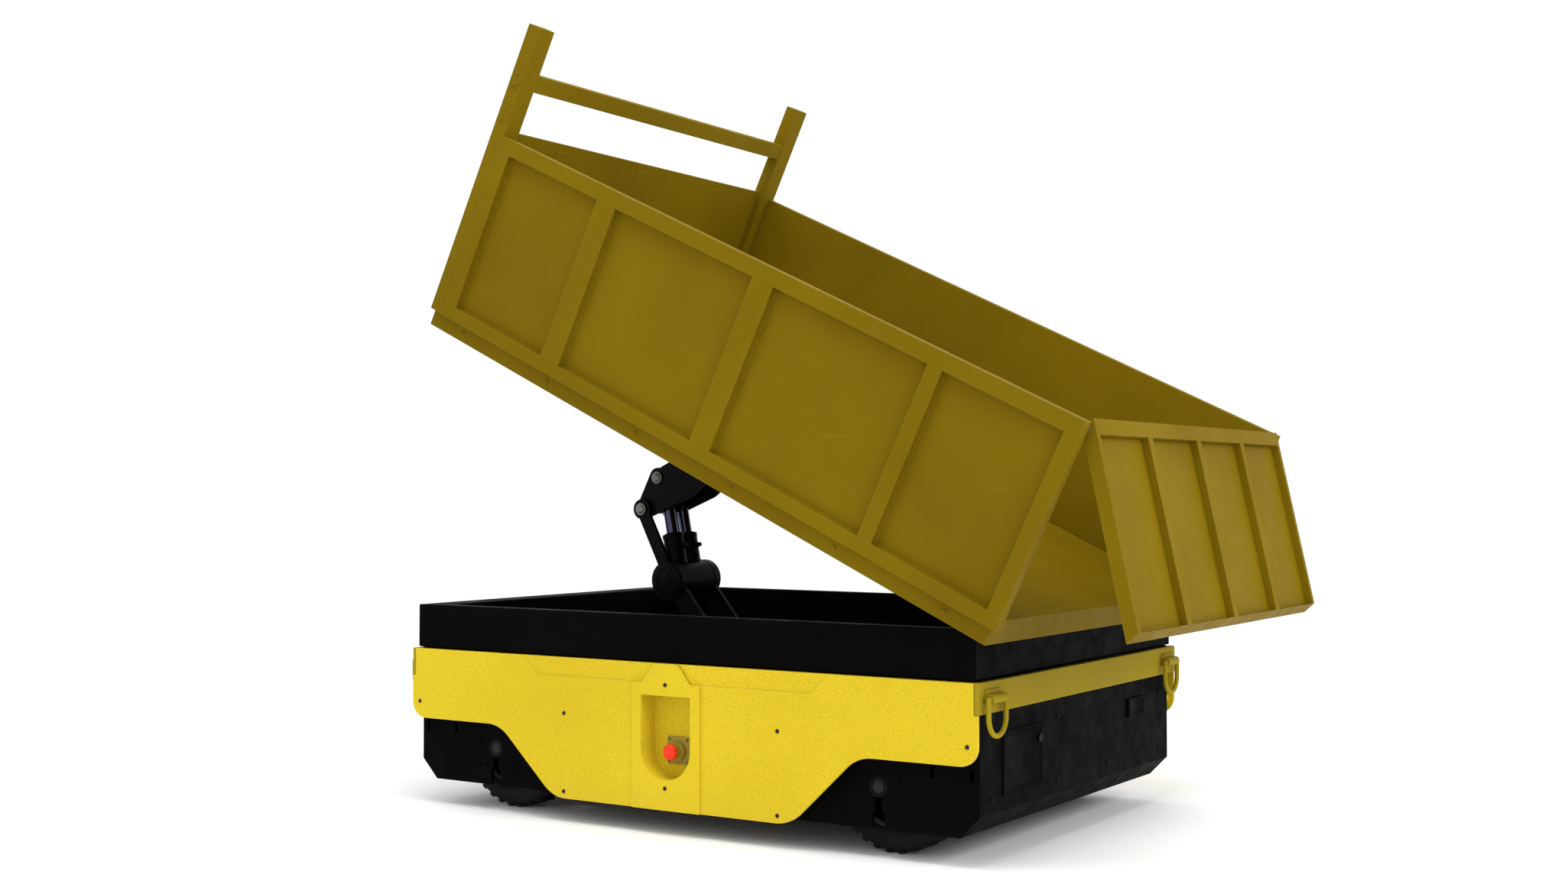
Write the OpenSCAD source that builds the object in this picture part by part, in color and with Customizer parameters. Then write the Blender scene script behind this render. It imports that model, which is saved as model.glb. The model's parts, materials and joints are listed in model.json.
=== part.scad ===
// Self-propelled grain cart: a low wheeled chassis with a tipping grain bed.
// +X points to the discharge end, +Z is up, and the origin is the middle of
// the footprint on the ground. The bed is drawn raised with its gate open.

/* [Pose] */
// Tilt of the bed above level, degrees
bed_tilt = 25.43; // [20:0.5:32]
// Swing of the gate past plumb, degrees
gate_swing = 12.3; // [0:0.5:25]

/* [Chassis] */
// Length of the deck frame
deck_l = 1680; // [1400:10:2040]
// Width of the deck frame
deck_w = 1162; // [960:2:1400]
// Height of the deck frame's underside above the ground
deck_z = 421; // [400:1:500]
// Depth of the deck frame
deck_h = 114; // [90:1:140]
// Width of the deck frame's side walls
deck_side_wall = 40; // [30:1:60]
// Width of the deck frame's end walls
deck_end_wall = 80; // [66:1:110]
// Ground clearance under the belly pan
belly_z = 67; // [55:1:90]
// Thickness of the belly pan
belly_t = 6; // [4:1:10]
// Thickness of the outer side plates
side_plate_t = 12; // [8:1:14]
// Gap from the deck frame's face back to the side plate's face
side_plate_inset = 21; // [12:1:30]
// Length of the sloped lower corners of the ends
end_slope_l = 50; // [30:1:70]
// Rise of the sloped lower corners of the ends
end_slope_h = 51; // [30:1:70]
// Thickness of the end covers
end_cover_t = 6; // [4:1:10]
// Thickness of the inner walls
inner_wall_t = 8; // [6:1:12]
// Gap between a wheel's inner face and its wheel wall
wheel_wall_gap = 12; // [8:1:30]
// Clear width of the hoist bay
bay_w = 250; // [230:2:300]

/* [Bands] */
// Height of the end bands
band_h = 72; // [50:1:90]
// Thickness of the end bands
band_t = 12; // [8:1:20]
// Top of the end bands above the ground
band_top_z = 418; // [390:1:420]

/* [Side covers] */
// How far a side cover reaches past each end of the deck frame
cover_end = 10; // [0:1:30]
// Top of the side covers above the ground
cover_top_z = 417; // [395:1:420]
// Bottom of the side covers above the ground
cover_low_z = 60; // [50:1:80]
// Height of the wheel notch above the ground
cover_notch_z = 232; // [210:1:260]
// Width of the cover's tongue at the notch
tongue_top_w = 1082; // [900:2:1120]
// Width of the cover's tongue at its bottom
tongue_low_w = 718; // [560:2:760]
// Corner radius of the tongue
tongue_r = 100; // [60:1:110]
// Radius of the cover's lower outer corners
cover_r = 44; // [20:1:60]
// Wall of a side cover
cover_t = 8; // [5:1:12]
// How far a side cover stands outside the deck frame
cover_out = 9.5; // [8:0.5:19]
// Depth of the shallow band pressed along the cover's top
cover_press_d = 3; // [1:0.5:5]
// Height of that band
cover_press_h = 48; // [30:1:60]
// Diameter of the cover screws' heads
cover_screw_d = 15; // [12:1:18]

/* [Stop button panel] */
// Width of the raised middle panel
panel_w = 204; // [184:2:240]
// How far the middle panel stands proud
panel_t = 6; // [4:1:9]
// Width of the recess
recess_w = 150; // [130:2:160]
// Top of the recess above the ground
recess_top_z = 339; // [320:1:350]
// Bottom of the recess above the ground
recess_low_z = 133; // [120:1:150]
// Depth of the recess behind the cover's face
recess_d = 55; // [40:1:60]
// Wall of the recess box
recess_t = 3; // [2:0.5:4]
// Height of the stop button's middle above the ground
stop_z = 200; // [190:1:230]
// Diameter of the stop button's head
stop_head_d = 40; // [30:1:50]
// Side of the stop button's mounting plate
stop_plate_w = 68; // [60:1:76]
// Thickness of the mounting plate
stop_plate_t = 5; // [3:1:8]
// Diameter of the collar
stop_collar_d = 46; // [38:1:52]
// Height of the collar
stop_collar_h = 24; // [18:1:30]
// Travel of the stop button
stop_travel = 4; // [2:0.5:6]

/* [Wheels] */
// Wheel diameter
wheel_d = 328; // [310:1:350]
// Wheel width
wheel_w = 110; // [80:1:120]
// Rim diameter
rim_d = 210; // [180:1:230]
// Distance of an axle from its end of the deck frame
axle_inset = 260; // [240:2:290]
// Gap between a wheel's outer face and the side plate
wheel_gap = 48; // [43:1:58]
// Axle diameter
axle_d = 30; // [24:1:40]
// Radial running clearance of the axles and pins
run_gap = 0.05; // [0.02:0.01:0.1]

/* [Bed] */
// Length of the bed's floor frame
bed_l = 1824; // [1500:4:2190]
// Gap between the deck frame's sides and the floor frame's lips
bed_side_gap = 19; // [14:1:99]
// Height of the bed's floor frame
bed_frame_h = 45; // [38:1:60]
// Thickness of the floor frame's lips
bed_lip_t = 20; // [12:1:22]
// Thickness of the floor plate
bed_floor_t = 5; // [3:1:8]
// Height of the bed's walls above the frame's underside
bed_wall_top = 544; // [450:2:640]
// Thickness of the side walls
bed_wall_t = 28; // [22:1:36]
// How far the side walls stand outside the floor frame
bed_wall_out = 23; // [10:1:30]
// How far the side walls reach past the floor frame's rear
bed_wall_rear = 19; // [10:1:30]
// Depth of the pressed side panels
bed_panel_d = 20; // [10:1:22]
// Height of the lower rail under the panels
bed_low_rail = 34; // [20:1:50]
// Height of the upper rail over the panels
bed_top_rail = 40; // [30:1:60]
// Width of the posts between the panels
bed_divider_w = 64; // [40:1:70]
// Width of the rearmost post between the panels
rear_divider_w = 40; // [30:1:60]
// Width of the walls' end rails
bed_end_rail = 38; // [30:1:50]
// Share of a middle panel's length in an end panel's
end_panel_share = 0.71; // [0.5:0.01:1]
// Depth of the floor's cross members
cross_member_h = 21; // [15:1:25]
// Number of cross members
cross_member_n = 6; // [4:1:8]
// Depth of the corner posts along the bed
post_l = 41; // [34:1:50]
// Width of the corner posts
post_w = 58; // [45:1:70]
// Height of the corner posts above the frame's underside
post_top = 837; // [760:1:900]
// Height of the headboard above the frame's underside
headboard_top = 555; // [500:1:600]
// Height of the cross bar's underside
cross_bar_z = 672; // [620:1:720]
// Height of the cross bar
cross_bar_h = 45; // [30:1:60]

/* [Bed hinge] */
// Distance of the hinge from the deck frame's rear face
hinge_inset = 40; // [34:1:50]
// Height of the hinge above the deck frame
hinge_rise = 25; // [23:0.5:27]
// Diameter of the hinge pins
hinge_pin_d = 20; // [16:1:24]
// Distance of the hinge from the bed's rear end
hinge_from_rear = 98.4; // [85:0.2:110]
// Height of the hinge above the floor frame's underside
hinge_in_bed = 14.6; // [12:0.2:19]
// Distance of a hinge's middle from the deck frame's side
hinge_side_inset = 126; // [101:1:231]

/* [Tailgate] */
// Gap between the tailgate and a side wall
gate_side_gap = 11; // [8:1:25]
// Height of the closed tailgate's bottom edge above the floor frame
gate_sill_gap = 16; // [11:1:95]
// Thickness of the tailgate
gate_t = 33; // [25:1:40]
// Depth of the gate's pressed panels
gate_panel_d = 19; // [10:1:20]
// Height of the gate's top bar
gate_top_bar = 35; // [25:1:50]
// Height of the gate's sloped bottom lip
gate_lip_h = 18; // [10:1:26]
// Width of the gate's side bars
gate_side_bar = 14; // [12:1:30]
// Width of the gate's ribs
gate_rib_w = 26; // [20:1:40]
// Distance of the outer ribs from the middle
gate_rib_y = 306; // [250:1:400]
// Diameter of the gate's pins
gate_pin_d = 12; // [8:1:14]
// Drop of the gate's pins below its top edge
gate_pin_drop = 14; // [11:1:20]
// Distance of the gate's pins behind its outer face
gate_pin_back = 24; // [14:1:25]

/* [Hoist] */
// Distance of the hoist bracket's pin from the bed's rear end
bracket_u = 1150; // [1050:5:1200]
// Drop of the bracket's pin below the floor frame
bracket_drop = 30; // [26:1:40]
// Thickness of the hoist's plates and arms
hoist_t = 12; // [8:1:14]
// Diameter of the bracket, knuckle and barrel pins
hoist_pin_d = 28; // [20:1:34]
// Diameter of the lift arms' pivot shaft
arm_shaft_d = 40; // [30:1:50]
// Diameter of the elbow drum
drum_d = 106; // [90:1:116]
// Length of the elbow drum
drum_l = 186; // [176:1:200]
// Diameter of a hoist barrel
barrel_d = 58; // [50:1:62]
// Distance of the barrels' tops from the elbow
barrel_l = 130; // [110:1:140]
// Diameter of a hoist rod
rod_d = 34; // [24:1:36]
// Distance between the two barrels' middles
barrel_span = 64; // [62:1:66]

/* [Lashing rings] */
// Diameter of the ring's wire
ring_wire = 12; // [8:1:16]
// Inside width of a ring
ring_w = 74; // [50:1:80]
// Length of a ring below its pivot
ring_l = 84; // [70:1:100]
// Distance of a ring's middle from the side cover's face
ring_inset = 65.5; // [60.5:1:140.5]
// Height of the rings' pivots above the ground
ring_z = 381; // [370:1:395]
// Distance of the rings' pivots from the band
ring_out = 14; // [12:1:20]

/* [Hidden] */
$fn = 64;
slip = 0.3;
cut = 1;
yellow = [0.80, 0.66, 0.13];
bright_yellow = [0.93, 0.80, 0.20];
black = [0.10, 0.10, 0.11];
steel = [0.62, 0.62, 0.58];
chrome = [0.45, 0.50, 0.62];

// Chassis lines
deck_top = deck_z + deck_h;
plate_y = deck_w / 2 - side_plate_inset;
cover_y = deck_w / 2 + cover_out;
cover_l = deck_l + 2 * cover_end;
ring_span = 2 * (cover_y - ring_inset);
hinge_span = deck_w - 2 * hinge_side_inset;
end_x = deck_l / 2;
axle_x = end_x - axle_inset;
wheel_r = wheel_d / 2;
wheel_y = plate_y - side_plate_t - wheel_gap - wheel_w / 2;
wheel_wall_y = wheel_y - wheel_w / 2 - wheel_wall_gap - inner_wall_t / 2;
bay_y = bay_w / 2;
wall_low_z = belly_z + belly_t + slip;
wall_h = deck_z - slip - wall_low_z;
bay_front = -end_x + 200;
bay_rear = end_x - 220;
battery_l = 2 * (axle_x - 150);

// Bed placed about the hinge: the hinge is fixed to the deck, and the bed's
// frame is measured from its rear bottom edge, u forwards and h upwards.
hinge = [end_x - hinge_inset, deck_top + hinge_rise];
function turn(p, a) = [p[0] * cos(a) + p[1] * sin(a), -p[0] * sin(a) + p[1] * cos(a)];
function bed_point(u, h) = hinge + turn([hinge_from_rear - u, h - hinge_in_bed], bed_tilt);
bed_corner = bed_point(0, 0);
frame_y = deck_w / 2 + bed_side_gap + bed_lip_t;
wall_y = frame_y + bed_wall_out;
wall_in_y = wall_y - bed_wall_t;
wall_low = bed_frame_h;
wall_front = bed_l - post_l - 6;
post_u = bed_l - post_l;
floor_low = bed_frame_h - bed_floor_t;
member_low = floor_low - cross_member_h;
member_first = 200;
member_step = (bed_l - 2 * member_first + 176) / cross_member_n;
member_w = 50;
member_last = member_first + member_step * (cross_member_n - 1);
gate_pivot_u = -6;
gate_pivot_h = bed_wall_top - 18;
gate_pivot = bed_point(gate_pivot_u, gate_pivot_h);
gate_w = 2 * (wall_in_y - gate_side_gap);
gate_h = gate_pivot_h + gate_pin_drop - bed_frame_h - gate_sill_gap;
sill_top = bed_frame_h + gate_sill_gap - 3;

// Hoist points at this pose: a parallelogram of hinge, bracket, knuckle and arm
bracket_pin = bed_point(bracket_u, -bracket_drop);
knuckle_arm = [300, 182];
knuckle_rod = [45, 89];
knuckle_top = [90, 135];
knuckle_heel = [215, 77];
knuckle_toe = [157, 34];
elbow_arm = turn([176, -135.5], bed_tilt);
arm_knee = turn([166, -77], bed_tilt);
lower_pin = bracket_pin - knuckle_arm;
rod_pin = lower_pin + knuckle_rod;
elbow = lower_pin + elbow_arm;
knee = elbow + arm_knee;
arm_pivot = lower_pin - (bracket_pin - hinge);
rod_line = rod_pin - elbow;
rod_len = norm(rod_line);
rod_lean = atan2(rod_line[0], rod_line[1]);
plate_in_y = barrel_span / 2 + rod_d / 2 + 3;
plate_out_y = plate_in_y + hoist_t;
arm_in_y = plate_out_y + 3;
arm_out_y = arm_in_y + hoist_t;
eye_r = 28;

// The model's middle, so that the origin is the middle of its footprint
ring_reach = band_t + ring_out + ring_wire / 2 + 5;
x_front = -end_x - ring_reach;
gate_tip = gate_pivot + turn([gate_pin_back, gate_pin_drop + gate_lip_h - gate_h], -gate_swing);
x_rear = gate_tip[0];
x_shift = -(x_front + x_rear) / 2;

// Rounded outlines: each corner of a closed outline gets its own radius
function unit(v) = v / norm(v);
function corner_arc(a, p, b, r, n) =
    let (v = unit(a - p), w = unit(b - p), half = acos(v * w) / 2)
    let (c = p + unit(v + w) * r / sin(half), s = p + v * r / tan(half), e = p + w * r / tan(half))
    let (a0 = atan2(s[1] - c[1], s[0] - c[0]), a1 = atan2(e[1] - c[1], e[0] - c[0]))
    let (turned = (a1 - a0 + 540) % 360 - 180)
    [for (i = [0:n]) c + r * [cos(a0 + turned * i / n), sin(a0 + turned * i / n)]];
function rounded(pts, radii, n = 8) =
    [for (i = [0:len(pts) - 1])
        let (k = len(pts), r = radii[i])
        each (r > 0 ? corner_arc(pts[(i + k - 1) % k], pts[i], pts[(i + 1) % k], r, n) : [pts[i]])];

module placed() { translate([x_shift, 0, 0]) children(); }
// Extrudes an X-Z outline between two Y planes
module plate_xz(y0, y1) {
    translate([0, max(y0, y1), 0]) rotate([90, 0, 0]) linear_extrude(abs(y1 - y0)) children();
}
module rod_y(p, d, y0, y1) {
    translate([p[0], y0, p[1]]) rotate([-90, 0, 0]) cylinder(d = d, h = y1 - y0);
}
module block(x0, x1, y0, y1, z0, z1) {
    translate([x0, y0, z0]) cube([x1 - x0, y1 - y0, z1 - z0]);
}
module in_bed() { translate([bed_corner[0], 0, bed_corner[1]]) rotate([0, bed_tilt, 0]) children(); }
// Bed block: u forwards from the rear end, h upwards from the frame's underside
module bed_block(u0, u1, y0, y1, h0, h1) { block(-u1, -u0, y0, y1, h0, h1); }
module in_gate() {
    translate([gate_pivot[0], 0, gate_pivot[1]]) rotate([0, -gate_swing, 0]) children();
}
module side(s) { if (s < 0) children(); else mirror([0, 1, 0]) children(); }
module at_wheels() { for (x = [-axle_x, axle_x], s = [-1, 1]) translate([x, 0, 0]) side(s) children(); }

// Chassis ---------------------------------------------------------------
module belly_pan() {
    well_l = wheel_d + 40;
    placed() color(black) difference() {
        block(-end_x + end_slope_l, end_x - end_slope_l, -plate_y + side_plate_t + slip,
              plate_y - side_plate_t - slip, belly_z, belly_z + belly_t);
        at_wheels() block(-well_l / 2, well_l / 2, -plate_y, -wheel_wall_y - inner_wall_t, 0, deck_z);
    }
}
module wheel_walls() {
    placed() color(black) for (s = [-1, 1]) side(s) difference() {
        block(-end_x + end_slope_l, end_x - end_slope_l, -wheel_wall_y - inner_wall_t / 2,
              -wheel_wall_y + inner_wall_t / 2, wall_low_z, wall_low_z + wall_h);
        for (x = [-axle_x, axle_x])
            rod_y([x, wheel_r], bearing_d, -wheel_wall_y - inner_wall_t, -wheel_wall_y + inner_wall_t);
    }
}
module bay_walls() {
    placed() color(black) for (s = [-1, 1]) side(s) {
        difference() {
            union() {
                block(bay_front, bay_rear, -bay_y - inner_wall_t, -bay_y, wall_low_z, wall_low_z + wall_h);
                rod_y(arm_pivot, arm_shaft_d + 34, -bay_y - inner_wall_t - 14, -bay_y + 14);
            }
            rod_y(arm_pivot, arm_shaft_d, -bay_y - 40, -bay_y + 40);
        }
    }
}
bearing_d = axle_d + 18;
function side_outline() = [
    [-end_x, deck_z - slip], [-end_x, belly_z + end_slope_h], [-end_x + end_slope_l, belly_z],
    [end_x - end_slope_l, belly_z], [end_x, belly_z + end_slope_h], [end_x, deck_z - slip]];
// Keyhole: the axle's bearing seat, a neck and a slot open at the bottom
module keyhole(x) {
    neck_w = 20;
    slot_w = 32;
    slot_z = belly_z + 41;
    translate([x, wheel_r]) circle(d = bearing_d);
    translate([x - neck_w / 2, slot_z]) square([neck_w, wheel_r - slot_z]);
    translate([x - slot_w / 2, belly_z - cut]) square([slot_w, slot_z - belly_z + cut]);
}
module side_plate(s) {
    placed() color(black) side(s) plate_xz(-plate_y, -plate_y + side_plate_t) difference() {
        polygon(side_outline());
        for (x = [-axle_x, axle_x]) keyhole(x);
        for (x = [720, 820], s = [-1, 1]) translate([s * x * end_x / 840 - 5, 195]) square([10, 28]);
        polygon(recess_outline(recess_t + 1));
    }
}
module side_plate_left() { side_plate(-1); }
module side_plate_right() { side_plate(1); }
module side_plate_bolts() {
    spots = [[-55, 19], [55, 19], [-32, -45], [32, -45], [-56, -45], [56, -45]];
    placed() color(black) at_wheels() for (p = spots)
        translate([p[0], -plate_y, wheel_r + p[1]]) rotate([90, 0, 0]) cylinder(d = 13, h = 4, $fn = 6);
}
module end_cover(s) {
    outline = [[0, belly_z + end_slope_h], [0, deck_z - slip], [-end_cover_t, deck_z - slip],
               [-end_cover_t, belly_z + end_slope_h + end_cover_t * 0.4],
               [-end_slope_l, belly_z + end_cover_t * 1.4], [-end_slope_l, belly_z]];
    half = plate_y - side_plate_t - slip;
    placed() color(black) mirror([s < 0 ? 1 : 0, 0, 0]) translate([end_x, 0, 0])
        plate_xz(-half, half) polygon(outline);
}
module end_cover_front() { end_cover(-1); }
module end_cover_rear() { end_cover(1); }
module deck_frame() {
    placed() color(black) difference() {
        block(-end_x, end_x, -deck_w / 2, deck_w / 2, deck_z, deck_top);
        block(-end_x + deck_end_wall, end_x - deck_end_wall, -deck_w / 2 + deck_side_wall,
              deck_w / 2 - deck_side_wall, deck_z - cut, deck_top + cut);
    }
}
module band(s) {
    placed() color(yellow) mirror([s < 0 ? 1 : 0, 0, 0])
        block(end_x + slip, end_x + band_t, -cover_y + slip, cover_y - slip, band_top_z - band_h, band_top_z);
}
module band_front() { band(-1); }
module band_rear() { band(1); }

// Side covers -----------------------------------------------------------
function cover_outline() =
    let (l = cover_l / 2, e = end_x - slip, t = tongue_top_w / 2, b = tongue_low_w / 2)
    let (band_z = band_top_z - band_h - slip)
    rounded([[-e, cover_top_z], [-e, band_z], [-l, band_z], [-l, cover_notch_z],
             [-t, cover_notch_z], [-b, cover_low_z], [b, cover_low_z], [t, cover_notch_z],
             [l, cover_notch_z], [l, band_z], [e, band_z], [e, cover_top_z]],
            [0, 0, 0, cover_r, tongue_r, tongue_r, tongue_r, tongue_r, cover_r, 0, 0, 0]);
function press_outline() =
    let (low = cover_top_z - cover_press_h)
    [[-467, cover_top_z + cut], [-415, low], [415, low], [467, cover_top_z + cut]];
function recess_outline(grow) =
    let (r = recess_w / 2 + grow, zc = recess_low_z + recess_w / 2, top = recess_top_z + grow)
    concat([[r, top], [-r, top]], [for (i = [0:24]) [0, zc] + r * [cos(180 + 7.5 * i), sin(180 + 7.5 * i)]]);
module side_cover(s) {
    screws = cover_screw_spots();
    placed() color(bright_yellow) side(s) difference() {
        union() {
            plate_xz(-cover_y, -cover_y + cover_t) polygon(cover_outline());
            plate_xz(-cover_y + cover_t, -plate_y)
                polygon([[-end_x + slip, cover_top_z], [-end_x + slip, cover_top_z - cover_t],
                         [end_x - slip, cover_top_z - cover_t], [end_x - slip, cover_top_z]]);
            for (p = screws) rod_y(p, cover_screw_d + 8, -cover_y + cover_t / 2, -plate_y);
        }
        plate_xz(-cover_y - cut, -cover_y + cover_press_d) polygon(press_outline());
        plate_xz(-cover_y - cut, -plate_y) polygon(recess_outline(recess_t + slip));
        for (p = concat(screws, panel_screw_spots())) rod_y(p, screw_shank_d, -cover_y - cut, -plate_y + cut);
    }
}
module side_cover_left() { side_cover(-1); }
module side_cover_right() { side_cover(1); }
screw_shank_d = 8;
function cover_screw_spots() = [
    [-cover_l / 2 + 26, 276], [cover_l / 2 - 26, 276], [-324, 276], [324, 276], [-324, 78], [324, 78]];
function panel_screw_spots() = [[0, recess_top_z + 27], [0, recess_low_z - 19]];
module screw(p, face_y) {
    rod_y(p, cover_screw_d, face_y - 3, face_y);
    rod_y(p, screw_shank_d, face_y - slip, -plate_y - slip);
}
module cover_screws() {
    placed() color(steel) for (s = [-1, 1]) side(s) {
        for (p = cover_screw_spots()) screw(p, -cover_y);
        for (p = panel_screw_spots()) screw(p, -cover_y - panel_t);
    }
}
function panel_outline() =
    let (h = panel_w / 2, low = cover_top_z - cover_press_h, tab = 28, foot = 79)
    let (top = [for (i = [0:8]) let (k = i / 8)
        [foot - (foot - tab) * k, low + (cover_top_z - low) * (1 - cos(180 * k)) / 2]])
    concat([[h, cover_low_z], [h, low]], top, [for (i = [8:-1:0]) [-top[i][0], top[i][1]]],
           [[-h, low], [-h, cover_low_z]]);
module middle_panel(s) {
    placed() color(bright_yellow) side(s) plate_xz(-cover_y - panel_t, -cover_y - slip) difference() {
        polygon(panel_outline());
        polygon(recess_outline(0));
        for (p = panel_screw_spots()) translate(p) circle(d = screw_shank_d);
    }
}
module middle_panel_left() { middle_panel(-1); }
module middle_panel_right() { middle_panel(1); }
module recess_box(s) {
    back_y = -cover_y + recess_d;
    placed() color(bright_yellow) side(s) difference() {
        plate_xz(-cover_y, back_y + recess_t) polygon(recess_outline(recess_t));
        plate_xz(-cover_y - cut, back_y) polygon(recess_outline(0));
    }
}
module recess_box_left() { recess_box(-1); }
module recess_box_right() { recess_box(1); }

// Stop buttons ----------------------------------------------------------
stop_face_y = -cover_y + recess_d;
module stop_plate(s) {
    h = stop_plate_w / 2;
    placed() color(yellow) side(s) difference() {
        plate_xz(stop_face_y - stop_plate_t, stop_face_y) polygon(rounded(
            [[-h, stop_z - h], [h, stop_z - h], [h, stop_z + h], [-h, stop_z + h]], [6, 6, 6, 6]));
        rod_y([0, stop_z], stop_stem_d + 2, stop_face_y - 20, stop_face_y + cut);
    }
}
stop_stem_d = 18;
module stop_plate_left() { stop_plate(-1); }
module stop_plate_right() { stop_plate(1); }
module stop_collar(s) {
    y1 = stop_face_y - stop_plate_t;
    placed() color(yellow) side(s) difference() {
        union() {
            rod_y([0, stop_z], stop_collar_d, y1 - stop_collar_h / 2, y1);
            rod_y([0, stop_z], stop_collar_d - 12, y1 - stop_collar_h, y1);
        }
        rod_y([0, stop_z], stop_stem_d + 2, y1 - stop_collar_h - cut, y1 + cut);
    }
}
module stop_collar_left() { stop_collar(-1); }
module stop_collar_right() { stop_collar(1); }
module stop_button(s) {
    y1 = stop_face_y - stop_plate_t - stop_collar_h - stop_travel - 1;
    placed() color("red") side(s) translate([0, y1, stop_z]) rotate([90, 0, 0]) {
        rotate_extrude() polygon(rounded(
            [[0, 0], [stop_head_d / 2 - 3, 0], [stop_head_d / 2, 5], [stop_head_d / 2, 10],
             [stop_head_d / 2 - 7, 16], [0, 18]], [0, 1.5, 2, 4, 8, 0], 5));
        translate([0, 0, -stop_travel - stop_collar_h])
            cylinder(d = stop_stem_d, h = stop_travel + stop_collar_h + cut);
    }
}
module stop_button_left() { stop_button(-1); }
module stop_button_right() { stop_button(1); }

// Wheels ----------------------------------------------------------------
module tyre(x, s) {
    h = wheel_w / 2;
    placed() color(black) translate([x, s * wheel_y, wheel_r]) rotate([90, 0, 0]) rotate_extrude()
        polygon(rounded([[rim_d / 2, -h], [wheel_r, -h], [wheel_r, h], [rim_d / 2, h]], [3, 18, 18, 3]));
}
module tyre_front_left() { tyre(-axle_x, -1); }
module tyre_front_right() { tyre(-axle_x, 1); }
module tyre_rear_left() { tyre(axle_x, -1); }
module tyre_rear_right() { tyre(axle_x, 1); }
// Rim, web and axle in one casting
module hub(x, s) {
    h = wheel_w / 2 - 4;
    placed() color(steel) translate([x, 0, wheel_r]) side(s) {
        translate([0, -wheel_y, 0]) rotate([90, 0, 0]) difference() {
            union() {
                difference() {
                    translate([0, 0, -h]) cylinder(d = rim_d, h = 2 * h);
                    for (z = [-h - cut, 12]) translate([0, 0, z]) cylinder(d = rim_d - 24, h = h - 12 + cut);
                }
                translate([0, 0, -h]) cylinder(d = 92, h = 2 * h);
            }
            for (i = [0:4]) rotate([0, 0, 72 * i]) translate([rim_d / 3, 0, -h - cut]) cylinder(d = 26, h = 2 * h + 2);
        }
        rod_y([0, 0], axle_d, -plate_y, -wheel_wall_y + inner_wall_t + 22);
    }
}
module hub_front_left() { hub(-axle_x, -1); }
module hub_front_right() { hub(-axle_x, 1); }
module hub_rear_left() { hub(axle_x, -1); }
module hub_rear_right() { hub(axle_x, 1); }
module wheel_bearings() {
    placed() color(steel) at_wheels() difference() {
        union() {
            rod_y([0, wheel_r], bearing_d, -plate_y, -plate_y + side_plate_t + 8);
            rod_y([0, wheel_r], bearing_d, -wheel_wall_y - inner_wall_t / 2,
                  -wheel_wall_y + inner_wall_t / 2 + 10);
        }
        rod_y([0, wheel_r], axle_d + 2 * run_gap, -plate_y - cut, 0);
    }
}

// Drive and power -------------------------------------------------------
module drive_motors() {
    motor_d = 130;
    y1 = -wheel_wall_y + inner_wall_t + 16;
    placed() color(steel) at_wheels() difference() {
        union() {
            rod_y([0, wheel_r], motor_d, y1, -bay_y - inner_wall_t - 24);
            block(-58, 58, y1, y1 + 60, wall_low_z, wheel_r);
        }
        rod_y([0, wheel_r], axle_d + 6, y1 - cut, y1 + 12);
    }
}
module battery_packs() {
    placed() color([0.15, 0.25, 0.35]) for (s = [-1, 1]) side(s) union() {
        block(-battery_l / 2, battery_l / 2, -wheel_wall_y + inner_wall_t, -bay_y - inner_wall_t - 20,
              wall_low_z, wall_low_z + 290);
        for (x = [-300, 0, 300]) block(x - 30, x + 30, -wheel_wall_y + inner_wall_t + 60,
                                       -bay_y - inner_wall_t - 80, wall_low_z + 289, wall_low_z + 302);
    }
}
module hydraulic_unit() {
    y0 = -wheel_wall_y + inner_wall_t + 4;
    placed() color(steel) union() {
        block(bay_front - 145, bay_front - 15, y0 + 240, y0 + 400, wall_low_z, wall_low_z + 150);
        translate([bay_front - 90, y0 + 320, wall_low_z + 149]) cylinder(d = 110, h = 130);
        translate([bay_front - 90, y0 + 320, wall_low_z + 278]) cylinder(d = 60, h = 30);
    }
}
module control_box() {
    placed() color(steel) union() {
        block(bay_front - 155, bay_front - 15, 120, 340, wall_low_z + 20, wall_low_z + 260);
        for (y = [140, 320])
            block(bay_front - 130, bay_front - 40, y - 12, y + 12, wall_low_z, wall_low_z + 21);
    }
}
// Rubber pads under the bed that come down on the deck frame
pad_low = hinge_in_bed - hinge_rise + 0.5;
module rest_pads() {
    placed() color([0.06, 0.06, 0.06]) in_bed() for (s = [-1, 1]) side(s)
        bed_block(member_last, member_last + member_w, -deck_w / 2 + 5, -deck_w / 2 + deck_side_wall - 5,
                  pad_low, member_low);
}

// Bed hinge -------------------------------------------------------------
ear_gap = 32;
ear_t = 12;
ear_r = 20;
module hinge_ears() {
    placed() color(black) for (y = [-1, 1] * hinge_span / 2, s = [-1, 1])
        plate_xz(y + s * ear_gap / 2, y + s * (ear_gap / 2 + ear_t)) difference() {
            union() {
                translate(hinge) circle(r = ear_r);
                translate([hinge[0] - ear_r, deck_top]) square([2 * ear_r, hinge_rise]);
            }
            translate(hinge) circle(d = hinge_pin_d);
        }
}
module hinge_pins() {
    placed() color(steel) for (y = [-1, 1] * hinge_span / 2) {
        rod_y(hinge, hinge_pin_d, y - ear_gap / 2 - ear_t - 6, y + ear_gap / 2 + ear_t);
        rod_y(hinge, hinge_pin_d + 8, y - ear_gap / 2 - ear_t - 6, y - ear_gap / 2 - ear_t);
    }
}

// Hoist -----------------------------------------------------------------
module lift_arm_shaft() { placed() color(steel) rod_y(arm_pivot, arm_shaft_d, -bay_y - 22, bay_y + 22); }
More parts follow.
